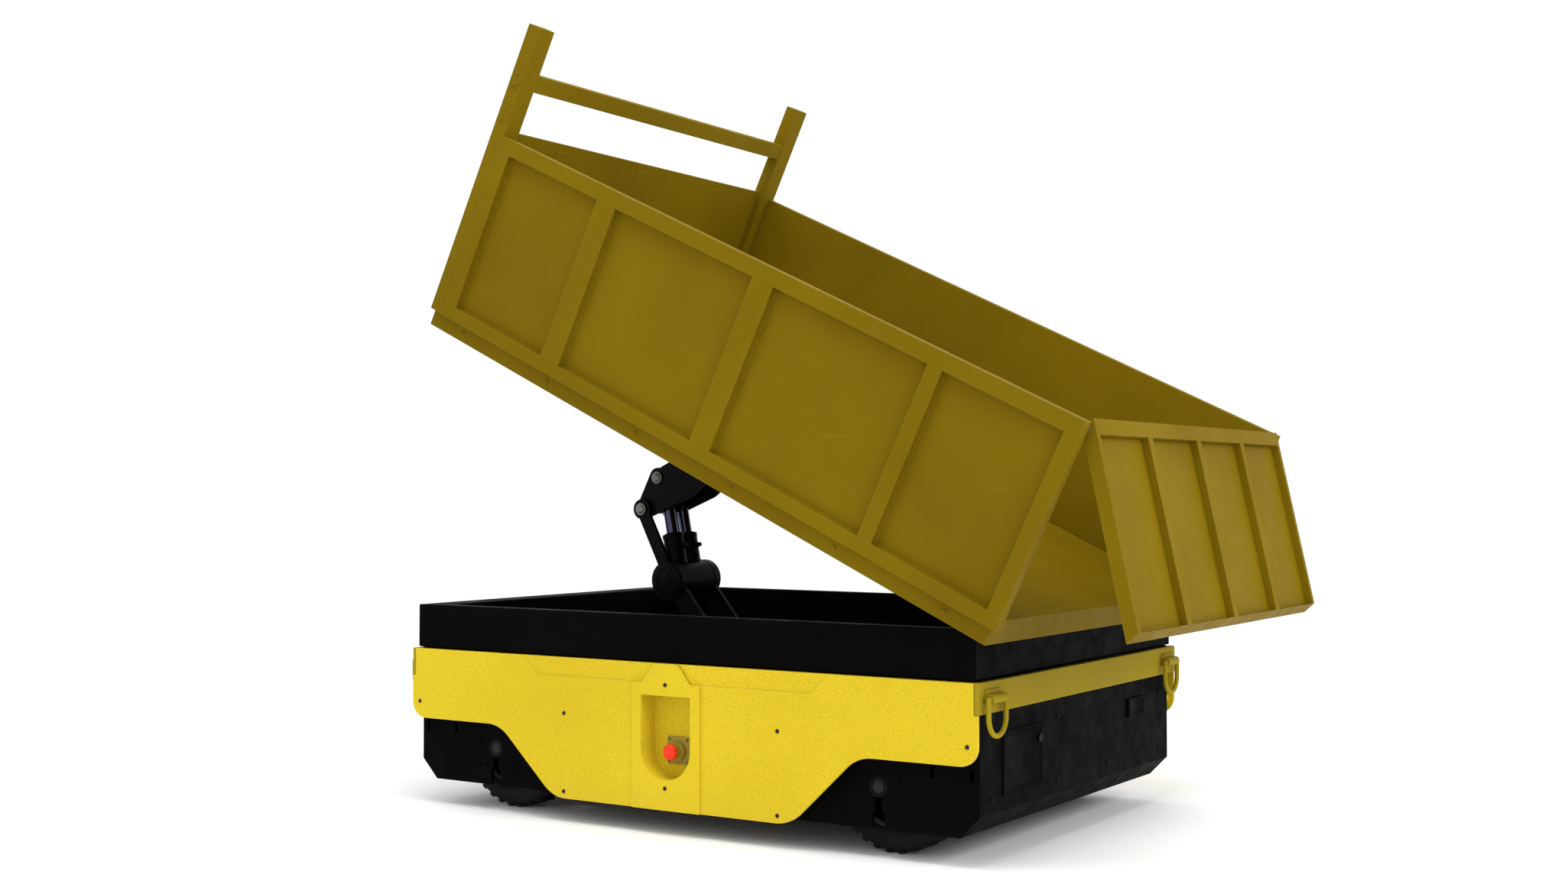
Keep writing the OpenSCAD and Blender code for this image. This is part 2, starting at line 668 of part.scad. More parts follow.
// A straight bar of the given width from one point to another
module bar(a, b, w) {
    d = b - a;
    translate(a) rotate(atan2(d[1], d[0])) translate([0, -w / 2]) square([norm(d), w]);
}
module arm_shape() {
    translate(arm_pivot) circle(r = 38);
    bar(arm_pivot, knee, 54);
    translate(knee) circle(d = 54);
    bar(knee, elbow, 54);
    translate(elbow) circle(d = drum_d);
    bar(elbow, lower_pin, 36);
    translate(lower_pin) circle(r = eye_r);
}
module lift_arms() {
    placed() color(black) difference() {
        union() {
            for (s = [-1, 1]) {
                plate_xz(s * arm_in_y, s * arm_out_y) arm_shape();
                plate_xz(s * (arm_out_y - cut), s * drum_l / 2) translate(elbow) circle(d = drum_d);
                plate_xz(s * (arm_out_y - cut), s * (bay_y - 15)) translate(arm_pivot) circle(r = 34);
            }
            for (k = [0.25, 0.6]) let (c = arm_pivot + (knee - arm_pivot) * k)
                rod_y(c, 40, -arm_in_y - cut, arm_in_y + cut);
            rod_y(elbow, hoist_pin_d + 8, -arm_in_y - cut, arm_in_y + cut);
        }
        rod_y(arm_pivot, arm_shaft_d + 2 * run_gap, -bay_y, bay_y);
        for (s = [-1, 1]) rod_y(lower_pin, hoist_pin_d + 2 * run_gap, s * 80 - 40, s * 80 + 40);
    }
}
module along_hoist() { translate([elbow[0], 0, elbow[1]]) rotate([0, rod_lean, 0]) children(); }
rod_eye_r = 25;
module hoist_barrels() {
    boss_y = plate_out_y;
    bore = hoist_pin_d + 8 + 2 * run_gap;
    placed() color(black) difference() {
        union() {
            rod_y(elbow, drum_d - 2, -boss_y, boss_y);
            along_hoist() for (y = [-1, 1] * barrel_span / 2)
                translate([0, y, 0]) cylinder(d = barrel_d, h = barrel_l);
        }
        rod_y(elbow, bore, -drum_l, drum_l);
        along_hoist() for (y = [-1, 1] * barrel_span / 2)
            translate([0, y, 34]) cylinder(d = rod_d + 2 * run_gap, h = barrel_l);
    }
}
module hoist_rods() {
    placed() color(chrome) difference() {
        union() {
            along_hoist() for (y = [-1, 1] * barrel_span / 2)
                translate([0, y, 84]) cylinder(d = rod_d, h = rod_len - 84);
            rod_y(rod_pin, 2 * rod_eye_r, -plate_in_y + 2, plate_in_y - 2);
        }
        rod_y(rod_pin, hoist_pin_d + 6, -drum_l, drum_l);
    }
}
module knuckle_plates() {
    left = eye_r * [-0.9, 0.436];
    outline = [lower_pin + left, rod_pin + left, lower_pin + knuckle_top, bracket_pin + [-14, 28],
               bracket_pin + [20, -24], lower_pin + knuckle_heel, lower_pin + knuckle_toe,
               lower_pin + [6, -eye_r + 1]];
    placed() color(black) for (s = [-1, 1]) plate_xz(s * plate_in_y, s * plate_out_y) difference() {
        union() {
            polygon(outline);
            translate(lower_pin) circle(r = eye_r);
            translate(rod_pin) circle(r = eye_r);
            translate(bracket_pin) circle(r = 32);
        }
        translate(bracket_pin) circle(d = hoist_pin_d + 2 * run_gap);
        for (p = [lower_pin, rod_pin]) translate(p) circle(d = hoist_pin_d);
    }
}
module knuckle_pins() {
    placed() color(steel) {
        rod_y(lower_pin, hoist_pin_d, -arm_out_y - 3, arm_out_y + 3);
        rod_y(rod_pin, hoist_pin_d, -plate_out_y - 3, plate_out_y + 3);
    }
}

// Bed -------------------------------------------------------------------
module bed_bracket() {
    rise = member_low + bracket_drop;
    placed() color(black) in_bed() translate([-bracket_u, 0, -bracket_drop]) {
        for (s = [-1, 1]) side(s) {
            plate_xz(-arm_out_y, -arm_in_y) {
                circle(r = 30);
                polygon([[-30, 0], [-60, rise - 7], [60, rise - 7], [30, 0]]);
            }
            block(-70, 70, -arm_out_y - 12, -plate_in_y + 4, rise - 8, rise);
        }
        rod_y([0, 0], hoist_pin_d, -arm_out_y - 4, arm_out_y + 4);
    }
}
module bed_frame() {
    placed() color(yellow) in_bed() {
        difference() {
            bed_block(0, bed_l, -frame_y, frame_y, 0, bed_frame_h);
            bed_block(bed_lip_t, bed_l - bed_lip_t, -frame_y + bed_lip_t, frame_y - bed_lip_t,
                      -cut, bed_frame_h + cut);
        }
        for (i = [0:cross_member_n - 1]) let (u = member_first + member_step * i)
            bed_block(u, u + member_w, -frame_y + bed_lip_t - cut, frame_y - bed_lip_t + cut, member_low,
                      floor_low - slip);
        for (s = [-1, 1]) side(s)
            bed_block(member_first + cut, member_last + cut, -arm_out_y - 16, -plate_in_y + 6,
                      member_low, floor_low - slip);
        bed_block(0, bed_lip_t, -wall_in_y + 4, wall_in_y - 4, bed_frame_h - cut, sill_top);
        for (y = [-1, 1] * hinge_span / 2) difference() {
            union() {
                rod_y([-hinge_from_rear, hinge_in_bed], 36, y - ear_gap / 2 + 2, y + ear_gap / 2 - 2);
                bed_block(bed_lip_t - cut, hinge_from_rear, y - ear_gap / 2 + 2, y + ear_gap / 2 - 2,
                          hinge_in_bed + 6, floor_low - slip);
            }
            rod_y([-hinge_from_rear, hinge_in_bed], hinge_pin_d + 2 * run_gap, y - ear_gap, y + ear_gap);
        }
    }
}
// The floor plate is cut away round the corner posts
module bed_floor() {
    post_in_y = wall_y - 3 - post_w - slip;
    placed() color(yellow) in_bed() difference() {
        bed_block(bed_lip_t + slip, bed_l - bed_lip_t - slip, -frame_y + bed_lip_t + slip,
                  frame_y - bed_lip_t - slip, floor_low, floor_low + bed_floor_t);
        for (s = [-1, 1]) side(s)
            bed_block(post_u, bed_l, -frame_y, -post_in_y, floor_low - cut, floor_low + bed_floor_t + cut);
    }
}
panel_run = wall_front + bed_wall_rear - 2 * bed_end_rail - 2 * bed_divider_w - rear_divider_w;
mid_panel = panel_run / (2 + 2 * end_panel_share);
end_panel = mid_panel * end_panel_share;
panel_1 = bed_end_rail - bed_wall_rear;
panel_2 = panel_1 + end_panel + rear_divider_w;
panel_3 = panel_2 + mid_panel + bed_divider_w;
panel_4 = panel_3 + mid_panel + bed_divider_w;
panel_starts = [panel_1, panel_2, panel_3, panel_4];
panel_lens = [end_panel, mid_panel, mid_panel, end_panel];
module bed_side(s) {
    placed() color(yellow) in_bed() side(s) difference() {
        bed_block(-bed_wall_rear, post_u, -wall_y, -wall_in_y, wall_low, bed_wall_top);
        for (i = [0:3]) bed_block(panel_starts[i], panel_starts[i] + panel_lens[i], -wall_y - cut,
            -wall_y + bed_panel_d, wall_low + bed_low_rail, bed_wall_top - bed_top_rail);
        rod_y([-gate_pivot_u, gate_pivot_h], gate_pin_d + 2 * run_gap, -wall_y + 8, 0);
    }
}
module bed_side_left() { bed_side(-1); }
module bed_side_right() { bed_side(1); }
// Front sheet, the two corner posts and the bar between them, one weldment
module headboard() {
    sheet_u = bed_l - bed_lip_t / 2;
    placed() color(yellow) in_bed() {
        bed_block(sheet_u - 4, sheet_u + 4, -wall_in_y, wall_in_y, wall_low, headboard_top);
        for (s = [-1, 1]) side(s)
            bed_block(post_u + slip, bed_l, -wall_y + 3, -wall_y + 3 + post_w, wall_low, post_top);
        bed_block(post_u + 4, bed_l - 4, -wall_in_y, wall_in_y, cross_bar_z, cross_bar_z + cross_bar_h);
    }
}

// Tailgate --------------------------------------------------------------
gate_top = gate_pin_drop;
gate_low = gate_top - gate_h;
gate_face = gate_pin_back;
gate_back = gate_face - gate_t;
module tailgate_frame() {
    half = gate_w / 2;
    sheet_face = gate_face - gate_panel_d;
    edges = [-half + gate_side_bar, -gate_rib_y, 0, gate_rib_y, half - gate_side_bar];
    placed() color(yellow) in_gate() difference() {
        plate_xz(-half, half) polygon([
            [gate_back, gate_top], [gate_face, gate_top], [gate_face, gate_low + gate_lip_h],
            [gate_back + 2, gate_low], [gate_back, gate_low]]);
        for (i = [0:3]) block(sheet_face, gate_face + cut,
            edges[i] + (i == 0 ? 0 : gate_rib_w / 2), edges[i + 1] - (i == 3 ? 0 : gate_rib_w / 2),
            gate_low + gate_lip_h, gate_top - gate_top_bar);
        block(gate_back - cut, sheet_face, -half + gate_side_bar, half - gate_side_bar,
              gate_low + gate_lip_h, gate_top - gate_top_bar);
        for (s = [-1, 1]) rod_y([0, 0], gate_pin_d, s * half - 40, s * half + 40);
    }
}
module tailgate_sheet() {
    half = gate_w / 2 - gate_side_bar - slip;
    sheet_face = gate_face - gate_panel_d;
    placed() color(yellow) in_gate() block(sheet_face - 6, sheet_face, -half, half,
        gate_low + gate_lip_h + slip, gate_top - gate_top_bar - slip);
}
module tailgate_pins() {
    placed() color(steel) in_gate() for (s = [-1, 1]) side(s)
        rod_y([0, 0], gate_pin_d, -wall_y + 9, -gate_w / 2 + 40);
}

// Lashing rings ---------------------------------------------------------
module at_ring(sx, sy) {
    translate([sx * (end_x + band_t), sy * ring_span / 2, ring_z]) mirror([sx < 0 ? 1 : 0, 0, 0]) children();
}
module ring_lugs() {
    half = ring_w / 2 - 2;
    placed() color(yellow) for (sx = [-1, 1], sy = [-1, 1]) at_ring(sx, sy) difference() {
        union() {
            block(0, 5, -half, half, -ring_wire / 2 - 5, 20);
            block(4, ring_out, -half, half, -ring_wire / 2 - 5, ring_wire / 2 + 5);
            rod_y([ring_out, 0], ring_wire + 10, -half, half);
        }
        rod_y([ring_out, 0], ring_wire + 2 * run_gap, -ring_w, ring_w);
    }
}
module ring(sx, sy) {
    r = ring_w / 2 + ring_wire / 2;
    drop = ring_l - r;
    placed() color(yellow) at_ring(sx, sy) translate([ring_out, 0, 0]) {
        rod_y([0, 0], ring_wire, -r, r);
        for (y = [-r, r]) {
            translate([0, y, 0]) sphere(d = ring_wire);
            translate([0, y, -drop]) cylinder(d = ring_wire, h = drop);
        }
        translate([0, 0, -drop]) rotate([0, 90, 0]) rotate([0, 0, -90])
            rotate_extrude(angle = 180) translate([r, 0]) circle(d = ring_wire);
    }
}
module ring_front_left() { ring(-1, -1); }
module ring_front_right() { ring(-1, 1); }
module ring_rear_left() { ring(1, -1); }
module ring_rear_right() { ring(1, 1); }

belly_pan();
wheel_walls();
bay_walls();
side_plate_left();
side_plate_right();
end_cover_front();
end_cover_rear();
deck_frame();
band_front();
band_rear();
side_cover_left();
side_cover_right();
middle_panel_left();
middle_panel_right();
recess_box_left();
recess_box_right();
stop_plate_left();
stop_plate_right();
stop_collar_left();
stop_collar_right();
stop_button_left();
stop_button_right();
cover_screws();
side_plate_bolts();
wheel_bearings();
tyre_front_left();
tyre_front_right();
tyre_rear_left();
tyre_rear_right();
hub_front_left();
hub_front_right();
hub_rear_left();
hub_rear_right();
ring_lugs();
ring_front_left();
ring_front_right();
ring_rear_left();
ring_rear_right();
drive_motors();
battery_packs();
hydraulic_unit();
control_box();
rest_pads();
hinge_ears();
hinge_pins();
lift_arm_shaft();
lift_arms();
hoist_barrels();
hoist_rods();
knuckle_plates();
knuckle_pins();
bed_frame();
bed_floor();
bed_side_left();
bed_side_right();
headboard();
bed_bracket();
tailgate_frame();
tailgate_sheet();
tailgate_pins();
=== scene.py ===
"""Self-propelled grain cart with a tipping bed: finishes, fine detail, light and camera."""

import json
import logging
import math
from dataclasses import dataclass
from enum import Enum
from typing import Iterable, Sequence

import bpy
from mathutils import Matrix, Vector


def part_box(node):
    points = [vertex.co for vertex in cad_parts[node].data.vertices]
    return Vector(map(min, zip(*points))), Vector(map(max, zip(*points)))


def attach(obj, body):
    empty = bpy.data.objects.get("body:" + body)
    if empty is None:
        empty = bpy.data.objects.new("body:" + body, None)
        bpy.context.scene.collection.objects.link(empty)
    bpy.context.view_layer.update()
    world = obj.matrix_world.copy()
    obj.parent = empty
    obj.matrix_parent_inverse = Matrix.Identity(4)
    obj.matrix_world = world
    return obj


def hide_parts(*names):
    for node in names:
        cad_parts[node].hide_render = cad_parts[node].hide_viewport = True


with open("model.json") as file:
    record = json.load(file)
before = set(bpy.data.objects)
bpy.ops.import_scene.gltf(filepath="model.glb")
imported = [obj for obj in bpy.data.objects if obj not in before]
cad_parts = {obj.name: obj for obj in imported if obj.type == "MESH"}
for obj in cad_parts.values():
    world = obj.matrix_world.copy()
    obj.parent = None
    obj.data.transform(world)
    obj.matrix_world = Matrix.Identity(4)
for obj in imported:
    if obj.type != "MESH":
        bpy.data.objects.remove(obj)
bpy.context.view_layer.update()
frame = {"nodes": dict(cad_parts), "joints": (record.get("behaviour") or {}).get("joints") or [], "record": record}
log = logging.getLogger("grain_cart")

Colour = tuple[float, float, float]
Point = tuple[float, float, float]


# ---------------------------------------------------------------- finishes


class NodeBench:
    """A small bench for laying out one material's nodes."""

    def __init__(self, name: str) -> None:
        """Starts a material with an empty shader.

        Args:
            name: The material's name.
        """
        self.material = bpy.data.materials.new(name)
        self.material.use_nodes = True
        self.tree = self.material.node_tree
        self.shader = self.tree.nodes["Principled BSDF"]
        self.coords = self.add("ShaderNodeTexCoord").outputs["Object"]

    def add(self, kind: str, **settings: object) -> bpy.types.Node:
        """Adds a node.

        Args:
            kind: The node's type name.
            settings: Properties to set on it.

        Returns:
            The new node.
        """
        node = self.tree.nodes.new(kind)
        for key, value in settings.items():
            setattr(node, key, value)
        return node

    def join(self, source: bpy.types.NodeSocket, target: bpy.types.NodeSocket) -> None:
        """Links one socket to another."""
        self.tree.links.new(source, target)

    def noise(self, scale: float, detail: float = 3.0, stretch: Point = (1, 1, 1)) -> bpy.types.NodeSocket:
        """Lays noise over the surface.

        Args:
            scale: Noise cells per metre.
            detail: Octaves of the noise.
            stretch: Scale along each axis, for streaks.

        Returns:
            The noise's value socket.
        """
        place = self.add("ShaderNodeMapping")
        place.inputs["Scale"].default_value = stretch
        self.join(self.coords, place.inputs["Vector"])
        node = self.add("ShaderNodeTexNoise")
        node.inputs["Scale"].default_value = scale
        node.inputs["Detail"].default_value = detail
        self.join(place.outputs["Vector"], node.inputs["Vector"])
        return node.outputs["Fac"]

    def spread(self, value: bpy.types.NodeSocket, low: float, high: float, to_low: float, to_high: float
               ) -> bpy.types.NodeSocket:
        """Stretches a value from one range to another, clamped.

        Returns:
            The stretched value's socket.
        """
        node = self.add("ShaderNodeMapRange")
        for key, number in (("From Min", low), ("From Max", high), ("To Min", to_low), ("To Max", to_high)):
            node.inputs[key].default_value = number
        self.join(value, node.inputs["Value"])
        return node.outputs["Result"]

    def times(self, first: bpy.types.NodeSocket, second: bpy.types.NodeSocket) -> bpy.types.NodeSocket:
        """Multiplies two values."""
        node = self.add("ShaderNodeMath", operation="MULTIPLY")
        self.join(first, node.inputs[0])
        self.join(second, node.inputs[1])
        return node.outputs[0]

    def blend(self, amount: bpy.types.NodeSocket, under: object, over: object) -> bpy.types.NodeSocket:
        """Mixes two colours, each a plain colour or a socket.

        Args:
            amount: How much of the upper colour shows.
            under: The colour at amount 0.
            over: The colour at amount 1.

        Returns:
            The mixed colour's socket.
        """
        node = self.add("ShaderNodeMix", data_type="RGBA")
        self.join(amount, node.inputs[0])
        for slot, value in ((6, under), (7, over)):
            if isinstance(value, tuple):
                node.inputs[slot].default_value = (*value, 1.0)
            else:
                self.join(value, node.inputs[slot])
        return node.outputs[2]

    def worn_edges(self, radius: float) -> bpy.types.NodeSocket:
        """Finds the outer edges.

        Args:
            radius: How far in from an edge the wear reaches, in metres.

        Returns:
            A value that is 1 on an edge and 0 on a flat.
        """
        round_node = self.add("ShaderNodeBevel", samples=4)
        round_node.inputs["Radius"].default_value = radius
        flat = self.add("ShaderNodeNewGeometry").outputs["Normal"]
        dot = self.add("ShaderNodeVectorMath", operation="DOT_PRODUCT")
        self.join(round_node.outputs["Normal"], dot.inputs[0])
        self.join(flat, dot.inputs[1])
        return self.spread(dot.outputs["Value"], 0.995, 0.86, 0.0, 1.0)

    def height(self) -> bpy.types.NodeSocket:
        """The height above the ground."""
        node = self.add("ShaderNodeSeparateXYZ")
        self.join(self.coords, node.inputs[0])
        return node.outputs["Z"]

    def relief(self, value: bpy.types.NodeSocket, strength: float, depth: float) -> None:
        """Turns a value into fine relief on the surface.

        Args:
            value: The height pattern.
            strength: Strength of the relief.
            depth: Depth of the relief in metres.
        """
        node = self.add("ShaderNodeBump")
        node.inputs["Strength"].default_value = strength
        node.inputs["Distance"].default_value = depth
        self.join(value, node.inputs["Height"])
        self.join(node.outputs["Normal"], self.shader.inputs["Normal"])

    def finish(self, colour: bpy.types.NodeSocket, roughness: bpy.types.NodeSocket, **constants: float
               ) -> bpy.types.Material:
        """Joins colour and roughness to the shader and sets its plain numbers.

        Returns:
            The finished material.
        """
        self.join(colour, self.shader.inputs["Base Color"])
        self.join(roughness, self.shader.inputs["Roughness"])
        for key, number in constants.items():
            self.shader.inputs[key.replace("_", " ")].default_value = number
        return self.material


@dataclass(frozen=True)
class PaintFinish:
    """Sprayed or powder-coated steel, with grime low down and wear along its edges."""

    name: str
    colour: Colour
    shade: Colour
    worn: Colour
    roughness: float = 0.42
    speckle: float = 0.0
    grain: Colour = (0.40, 0.28, 0.010)
    peel: float = 0.25
    wear: float = 0.6
    dust_top: float = 0.35
    dust: float = 0.25
    gloss: float = 0.4

    def build(self) -> bpy.types.Material:
        """Makes the material."""
        bench = NodeBench(self.name)
        cloud = bench.spread(bench.noise(2.6, 5.0), 0.35, 0.68, 0.0, 1.0)
        colour = bench.blend(cloud, self.colour, self.shade)
        streaks = bench.spread(bench.noise(9.0, 4.0, (1.0, 1.0, 0.18)), 0.56, 0.80, 0.0, 0.30)
        colour = bench.blend(streaks, colour, self.shade)
        if self.speckle:
            grains = bench.spread(bench.noise(300.0, 3.0), 0.46, 0.66, 0.0, self.speckle)
            colour = bench.blend(grains, colour, self.grain)
        low = bench.spread(bench.height(), self.dust_top, 0.03, 0.0, self.dust)
        patches = bench.spread(bench.noise(17.0, 6.0), 0.30, 0.70, 0.2, 1.0)
        colour = bench.blend(bench.times(low, patches), colour, (0.23, 0.19, 0.13))
        rubbed = bench.spread(bench.noise(60.0, 5.0), 0.42, 0.62, 0.1, self.wear)
        colour = bench.blend(bench.times(bench.worn_edges(0.0028), rubbed), colour, self.worn)
        scuffs = bench.spread(bench.noise(30.0, 6.0, (0.25, 1.0, 1.6)), 0.68, 0.76, 0.0, 0.07)
        colour = bench.blend(scuffs, colour, self.worn)
        rough = bench.spread(bench.noise(22.0, 5.0), 0.3, 0.7, self.roughness - 0.09, self.roughness + 0.12)
        bench.relief(bench.noise(420.0, 2.0), self.peel, 0.0004)
        return bench.finish(colour, rough, Specular_IOR_Level=self.gloss)


@dataclass(frozen=True)
class MetalFinish:
    """Bare, plated or cast metal."""

    name: str
    colour: Colour
    shade: Colour
    roughness: float = 0.3
    metallic: float = 1.0
    grain: Point = (1.0, 1.0, 1.0)
    relief: float = 0.15

    def build(self) -> bpy.types.Material:
        """Makes the material."""
        bench = NodeBench(self.name)
        stains = bench.spread(bench.noise(14.0, 6.0), 0.42, 0.72, 0.0, 1.0)
        colour = bench.blend(stains, self.colour, self.shade)
        lines = bench.noise(260.0, 3.0, self.grain)
        rough = bench.spread(lines, 0.3, 0.7, max(0.04, self.roughness - 0.08), self.roughness + 0.12)
        bench.relief(lines, self.relief, 0.0003)
        return bench.finish(colour, rough, Metallic=self.metallic)


@dataclass(frozen=True)
class MouldedFinish:
    """Rubber or moulded plastic."""

    name: str
    colour: Colour
    shade: Colour
    roughness: float = 0.6
    relief: float = 0.2
    scale: float = 180.0
    coat: float = 0.0
    gloss: float = 0.3

    def build(self) -> bpy.types.Material:
        """Makes the material."""
        bench = NodeBench(self.name)
        cloud = bench.spread(bench.noise(12.0, 5.0), 0.38, 0.70, 0.0, 1.0)
        colour = bench.blend(cloud, self.colour, self.shade)
        rough = bench.spread(bench.noise(55.0, 4.0), 0.3, 0.7, self.roughness - 0.08, self.roughness + 0.1)
        bench.relief(bench.noise(self.scale, 3.0), self.relief, 0.0004)
        return bench.finish(colour, rough, Coat_Weight=self.coat, Specular_IOR_Level=self.gloss)


class Finish(Enum):
    """The cart's finishes."""

    BED = PaintFinish("bed_yellow_paint", (0.180, 0.118, 0.0034), (0.150, 0.097, 0.0030), (0.36, 0.26, 0.03),
                      roughness=0.46, wear=0.5, dust_top=0.30, dust=0.05, gloss=0.015)
    COVER = PaintFinish("cover_yellow_powder", (0.700, 0.525, 0.022), (0.640, 0.470, 0.019), (0.86, 0.72, 0.16),
                        roughness=0.5, speckle=0.55, peel=0.5, wear=0.35, dust_top=0.14, dust=0.08, gloss=0.035)
    BAND = PaintFinish("band_yellow_paint", (0.33, 0.245, 0.013), (0.29, 0.21, 0.011), (0.45, 0.36, 0.06),
                       roughness=0.5, speckle=0.0, peel=0.4, wear=0.45, dust_top=0.12, dust=0.05, gloss=0.02)
    BLACK = PaintFinish("chassis_black_paint", (0.0012, 0.0012, 0.0012), (0.0018, 0.0018, 0.0018),
                        (0.012, 0.012, 0.012),
                        roughness=0.6, peel=0.3, wear=0.25, dust_top=0.20, dust=0.006, gloss=0.02)
    HOIST = PaintFinish("hoist_black_paint", (0.0018, 0.0018, 0.0018), (0.0028, 0.0028, 0.0028), (0.02, 0.02, 0.02),
                        roughness=0.45, peel=0.2, wear=0.35, dust_top=0.3, dust=0.006, gloss=0.05)
    MACHINE = PaintFinish("machine_grey_paint", (0.045, 0.05, 0.056), (0.035, 0.04, 0.046), (0.16, 0.16, 0.16),
                          roughness=0.5, peel=0.4, wear=0.4, dust_top=0.3, dust=0.12, gloss=0.2)
    RUBBER = MouldedFinish("tyre_rubber", (0.006, 0.006, 0.006), (0.013, 0.012, 0.010), 0.75, 0.35, 150.0, gloss=0.1)
    CAST = MetalFinish("hub_cast_metal", (0.009, 0.009, 0.009), (0.006, 0.006, 0.0055), 0.52, 0.6, relief=0.4)
    STEEL = MetalFinish("pin_steel", (0.17, 0.17, 0.15), (0.10, 0.10, 0.085), 0.40, 0.9)
    DARK_STEEL = MetalFinish("dark_steel", (0.020, 0.020, 0.020), (0.012, 0.012, 0.012), 0.45, 0.6)
    # The rods' dark blue tint and darker blue shade are painted reflection of a bluish surrounding, not the chrome's
    # own colour
    CHROME = MetalFinish("rod_chrome", (0.055, 0.062, 0.105), (0.035, 0.04, 0.07), 0.12, 1.0, relief=0.05)
    RED = MouldedFinish("stop_red_plastic", (0.92, 0.032, 0.006), (0.80, 0.024, 0.005), 0.35, 0.08, 300.0, 0.15, 0.2)
    WARNING = MouldedFinish("stop_yellow_plastic", (0.33, 0.26, 0.035), (0.28, 0.22, 0.03), 0.45, 0.2, 300.0,
                            gloss=0.15)
    DARK_PLASTIC = MouldedFinish("dark_plastic", (0.005, 0.005, 0.005), (0.008, 0.008, 0.008), 0.5, 0.25, 260.0,
                                 gloss=0.12)


class FinishShelf:
    """Builds each finish once and hands it out."""

    def __init__(self) -> None:
        """Starts with an empty shelf."""
        self.made: dict[Finish, bpy.types.Material] = {}

    def get(self, finish: Finish) -> bpy.types.Material:
        """Returns the finish's material, made on first use."""
        if finish not in self.made:
            self.made[finish] = finish.value.build()
        return self.made[finish]


# ---------------------------------------------------------------- workshop


